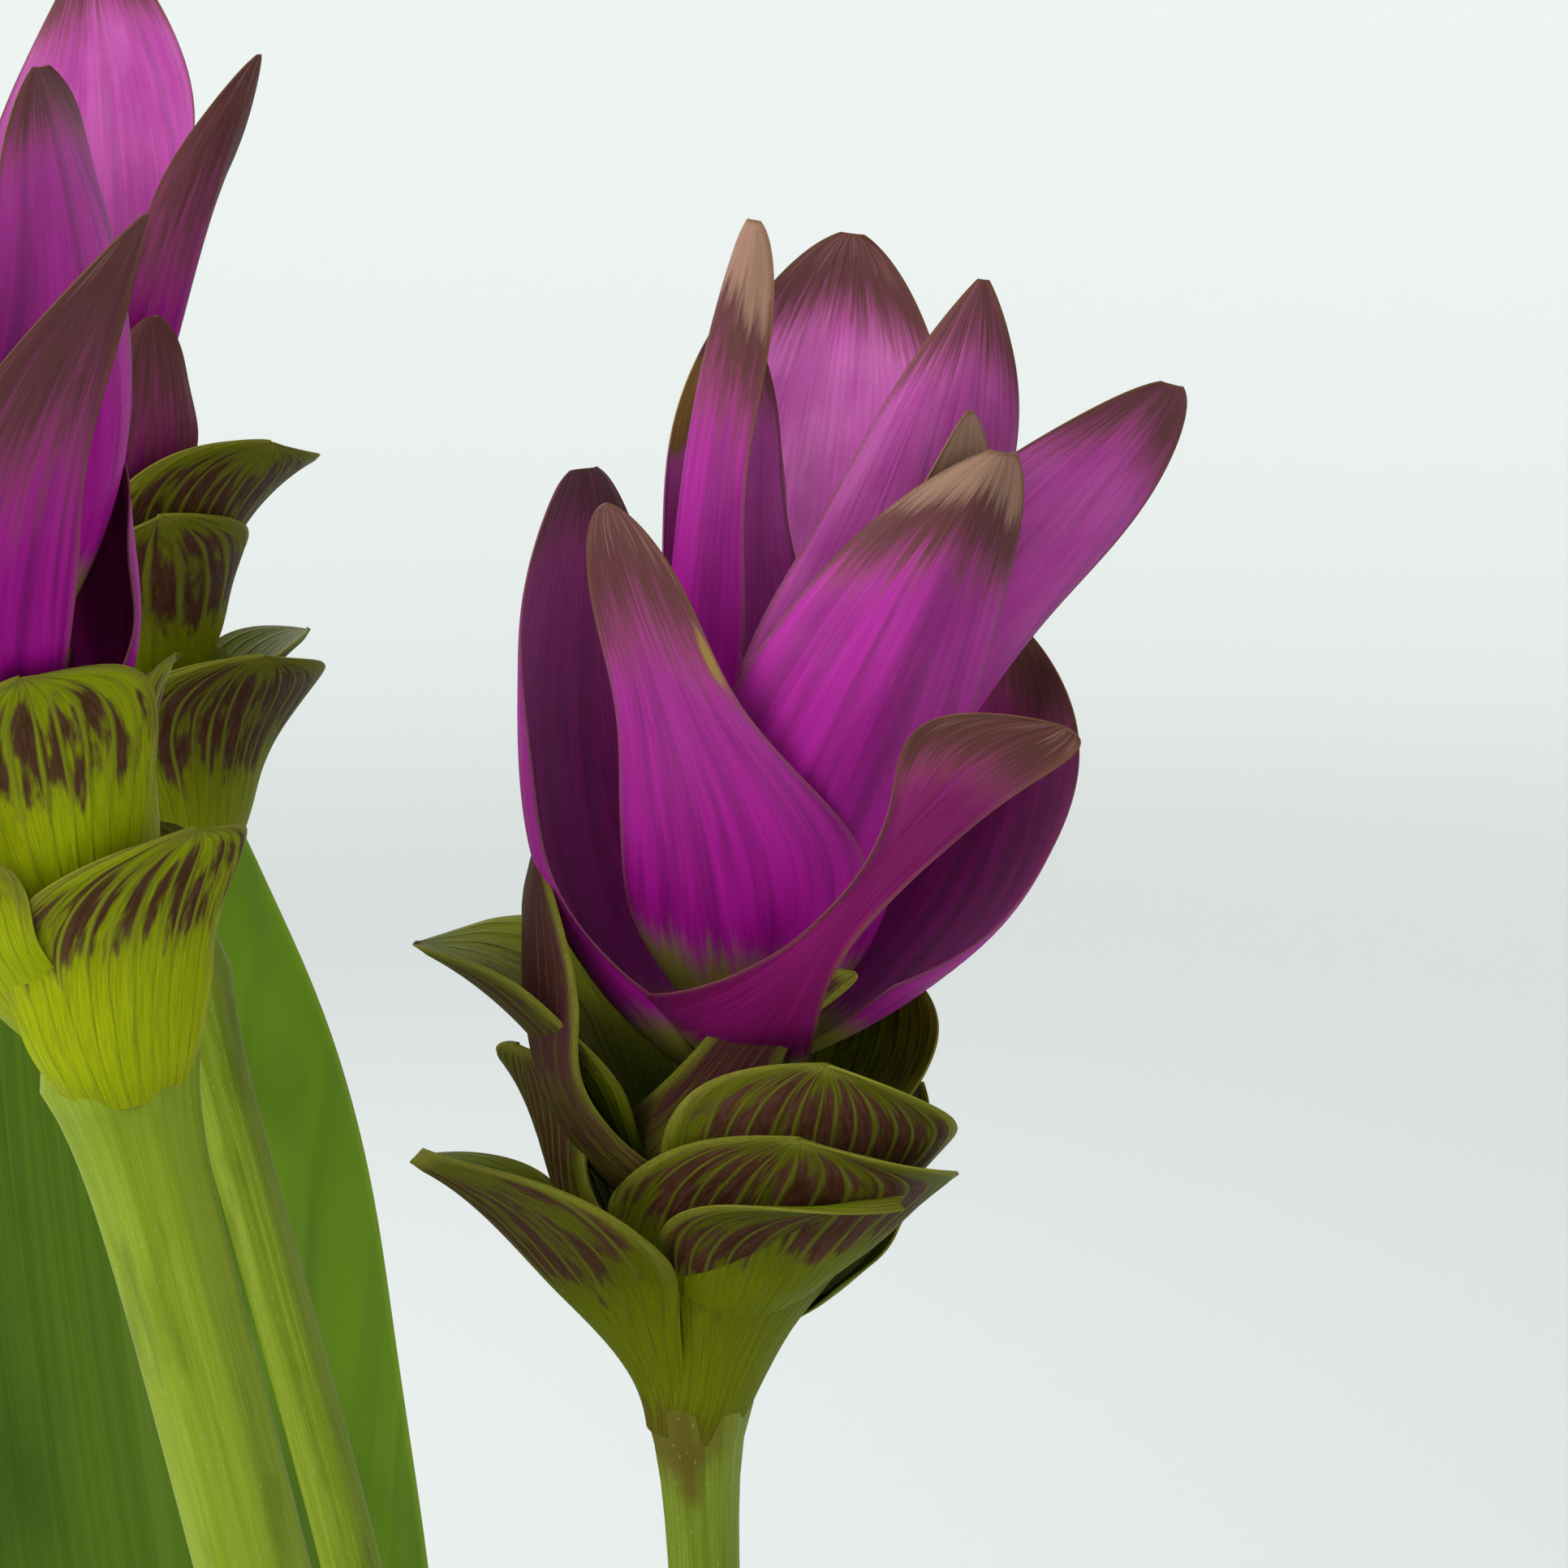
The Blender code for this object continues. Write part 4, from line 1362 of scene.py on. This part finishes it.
POUCHES = {
    "a": (
        pouch(1, 190, -3.0, 34.5, 70, (14, 40, 50, 48, 54, 70), spread=70, blunt=2.4, point=.95,
            tilt=.7, twist=-14, sides=(.72, .92), flank=(0, -1.6)),
        pouch(2, -53, -3.0, 33, 70, (14, 18, 26, 30, 34, 58), 10, spread=70, tilt=.7,
            notch=(.54, .5), sides=(1.12, .85), flank=(1.8, 0)),
        pouch(3, 78, -3.0, 32, 70, (14, 24, 32, 34, 40, 58), spread=70, tilt=.7, notch=(.6, .6)),
        pouch(4, 165, 4.5, 32, 60, (65, 45, 30, 20, 20), 10, twist=-40,
            forms=((.9, 1, .9, .6, .3), (.8, .6, .45, .4, .3))),
        pouch(5, -85, 7.0, 30, 60, (65, 45, 25, 25, 30), 10, blunt=2.0, notch=(.1, .7), twist=15),
        pouch(6, 10, 6.0, 31, 60, (62, 48, 28, 8, -14), blunt=2.4, point=.7, tilt=.5,
            sides=(.35, 1)),
        pouch(7, 180, 15.5, 37, 62, (54, 44, 42, 56, 74), blunt=2.4, point=.8, tilt=.7, twist=-12,
            sides=(1, .7)),
        pouch(8, -60, 11.5, 32, 62, (65, 45, 30, 20, 10), -10, blunt=3.0, notch=(.3, .65), twist=25,
            sides=(.8, .65)),
        pouch(9, 55, 16.0, 30, 62, (58, 42, 28, 14, 4), point=.7),
        pouch(10, 188, 15.0, 43, 60, (65, 55, 35, 15, 5, -5), tilt=.3,
            forms=((.6, .7, .6, .3, .1), (.7, .6, .4, .5, .3)), dress=Dress(maroon=.8, blotch=.9)),
        pouch(11, -110, 16.0, 33.5, 58, (75, 35, 5, 15, 30), 50, twist=25, tilt=.5,
            forms=((.7, .6, .3, .2, .3), (.5, .35, .15, .05, .05)),
            dress=Dress(maroon=.7, blotch=.9)),
    ),
    "b": (
        pouch(1, -62, -2.0, 22, 50, (32, 18, 12, 26, 50), 34, twist=18),
        pouch(2, 90, -2.0, 21, 46, (30, 16, 12, 24, 44)),
        pouch(3, -145, 3.0, 26, 54, (38, 26, 18, 26, 46), sides=(1, .8)),
        pouch(4, -84, 10.5, 25, 50, (44, 26, 14, 22, 40), 12),
        pouch(5, 20, 9.5, 23, 46, (40, 22, 12, 22, 46), sides=(.7, 1), twist=12),
        pouch(6, 150, 8.5, 24, 54, (50, 34, 22, 34, 50)),
    ),
    "c": (
        pouch(1, -35, 6.0, 31, 60, (46, 30, 22, 38, 54), sides=(.85, .8), twist=26),
        pouch(2, 85, 6.0, 30, 56, (46, 28, 20, 28, 40), sides=(.7, 1)),
        pouch(3, 205, 5.0, 33, 60, (50, 34, 24, 40, 56)),
        pouch(4, 15, 11.0, 27, 56, (52, 34, 24, 44, 70), sides=(.8, 1)),
        pouch(5, 145, 18.0, 33, 60, (56, 36, 22, 38, 56)),
        pouch(6, -52, 24.0, 27, 34, (60, 42, 24, 22, 26)),
        pouch(7, -30, 29.0, 30, 56, (60, 42, 26, 42, 66), 14, sides=(.7, 1), twist=30),
    ),
}

COMAS = {
    "a": (
        BractShape(1, 38, 31.5, 52, 42, (68, 48, 28, 4, -18),
            dress=Dress(maroon_inside=.45, pale_inside=0, brown=1.0, brown_reach=.16)),
        BractShape(2, -84, 31.0, 55, 36, (70, 50, 30, 30, 55), 24, twist=30, sway=2,
            forms=((1.1, .7, .15, .15, .8), (.35, .2, .1, .25, .35)), roll=30, roll_width=.4,
            dress=Dress(maroon=.7, brown=1.0, brown_reach=.13)),
        BractShape(3, 156, 29.0, 62, 38, (68, 42, 16, 0, -6), 6, blunt=.35,
            dress=Dress(maroon_inside=.2, pale_inside=.2, brown=.75, brown_reach=.1)),
        BractShape(4, -95, 33.5, 55, 30, (60, 35, 22, 13, 0), -44, twist=-15,
            forms=((.6, .8, .65, .4, .35), (.4, .6, .8, .4, .4)),
            dress=Dress(foot=.24, brown=1.0, brown_reach=.18, scars=((.9, .8, 1.6, .9),))),
        BractShape(5, -84, 35.0, 62, 28, (58, 32, 16, 8, 6), 29, keel=20, twist=12,
            dress=Dress(brown=1.15, brown_reach=.14)),
        BractShape(6, -58, 37.5, 66, 24, (26, 22, 22, 26, 30), 40, twist=42, widest=1.05, blunt=.5,
            dress=Dress(pale=.15, brown_reach=.1)),
        BractShape(7, 91, 37.5, 73, 28, (46, 26, 12, 4, 0), widest=1.5,
            dress=Dress(pale=.3, brown=1)),
        BractShape(8, -36, 40.5, 65, 28, (22, 16, 10, 5, 2), -4, twist=40, widest=.85, blunt=.85,
            dress=Dress(pale=.4)),
        # painted light: bract 9's inner face lies in shade and is painted paler (pale_inside .6),
        # as if lit
        BractShape(9, 132, 41.0, 60, 17, (36, 20, 12, 4, -2), widest=1.2,
            dress=Dress(pale_inside=.6, scars=((.9, .84, 2.2, 1.6),))),
        BractShape(10, -170, 41.0, 67.5, 14, (35, 18, 6, 0, -9), 26, widest=1.2, blunt=.45, keel=35,
            dress=Dress(brown=1.2, brown_reach=.2)),
        BractShape(11, 160, 45.5, 52, 20, (24, 14, 6, 2, 0)),
        BractShape(12, -48, 48.0, 50, 13, (36, 30, 24, 16, 8), -12, widest=1.1,
            dress=Dress(brown=1.4, brown_reach=.2)),
    ),
    "b": (
        BractShape(1, 38, 22.0, 32, 18, (52, 30, 14, 2, -10), blunt=.5,
            dress=Dress(maroon_inside=.9, pale_inside=0)),
        BractShape(2, 148, 25.0, 56, 38, (62, 36, 18, 6, -4)),
        BractShape(3, -66, 26.0, 46, 23, (62, 44, 30, 26, 22), 30, sides=(1, .22),
            dress=Dress(brown=1.0, brown_reach=.35)),
        BractShape(4, -140, 29.5, 50, 34, (52, 32, 18, 6, -6), -6),
        BractShape(5, -8, 33.0, 47, 34, (52, 34, 14, 0, -6)),
        BractShape(6, 170, 35.0, 50, 28, (40, 22, 12, 6, 0)),
        BractShape(7, -65, 37.0, 38, 16, (34, 20, 12, 8, 6), 10),
    ),
    "c": (
        BractShape(1, 135, 35.5, 62, 38, (62, 34, 16, 4, -4)),
        BractShape(2, -42, 41.0, 30, 22, (68, 48, 32, 20, 12), sides=(.9, .6),
            dress=Dress(brown=.9, brown_reach=.4, maroon=.6)),
        BractShape(3, -20, 43.0, 52, 20, (37, 34, 30, 33, 39), keel=35, twist=25, sides=(.65, .6),
            dress=Dress(brown=1.0, brown_reach=.4)),
        BractShape(4, -120, 44.0, 58, 34, (50, 28, 16, 6, 0)),
        BractShape(5, 56, 43.0, 62, 40, (34, 26, 17, 8, 2), widest=.85),
        BractShape(6, 198, 48.0, 54, 24, (34, 20, 10, 4, 0)),
    ),
}


def main() -> None:
    """Builds the studio and the plant."""
    logging.basicConfig(level=logging.INFO, format="%(name)s: %(message)s")
    Studio().build()
    coma_skin, pouch_skin = ComaFinish().material(), PouchFinish().material()
    scape_skin, leaf_skin = ScapeFinish().material(), LeafFinish().material()
    pot = Pot()
    pot.build(PotFinish().material())
    clear = tuple((s.route[0][0], s.route[0][1], 2.0 * s.radius) for s in SCAPES)
    PottingMix(pot, keep_clear=clear).build(
        MixFinish("peat", (0.03, 0.018, 0.011), (0.075, 0.046, 0.028),
                  (0.13, 0.085, 0.05), 0.35).material(),
        MixFinish("bark", (0.11, 0.055, 0.028), (0.2, 0.11, 0.06),
                  (0.06, 0.03, 0.018), 0.6, 0.85).material(),
        MixFinish("pale_grain", (0.62, 0.6, 0.55), (0.74, 0.72, 0.68),
                  (0.42, 0.38, 0.32), 0.8, 0.8).material())
    for scape in SCAPES:
        scape.build(scape_skin)
        for maker, table in (
                (BractMaker(scape, BractKind.POUCH, pouch_skin, thickness=0.0006), POUCHES),
                (BractMaker(scape, BractKind.COMA, coma_skin), COMAS),
                (LeafMaker(scape, leaf_skin), LEAVES)):
            for shape in table[scape.letter]:
                maker.build(shape)


if __name__ == "__main__":
    main()
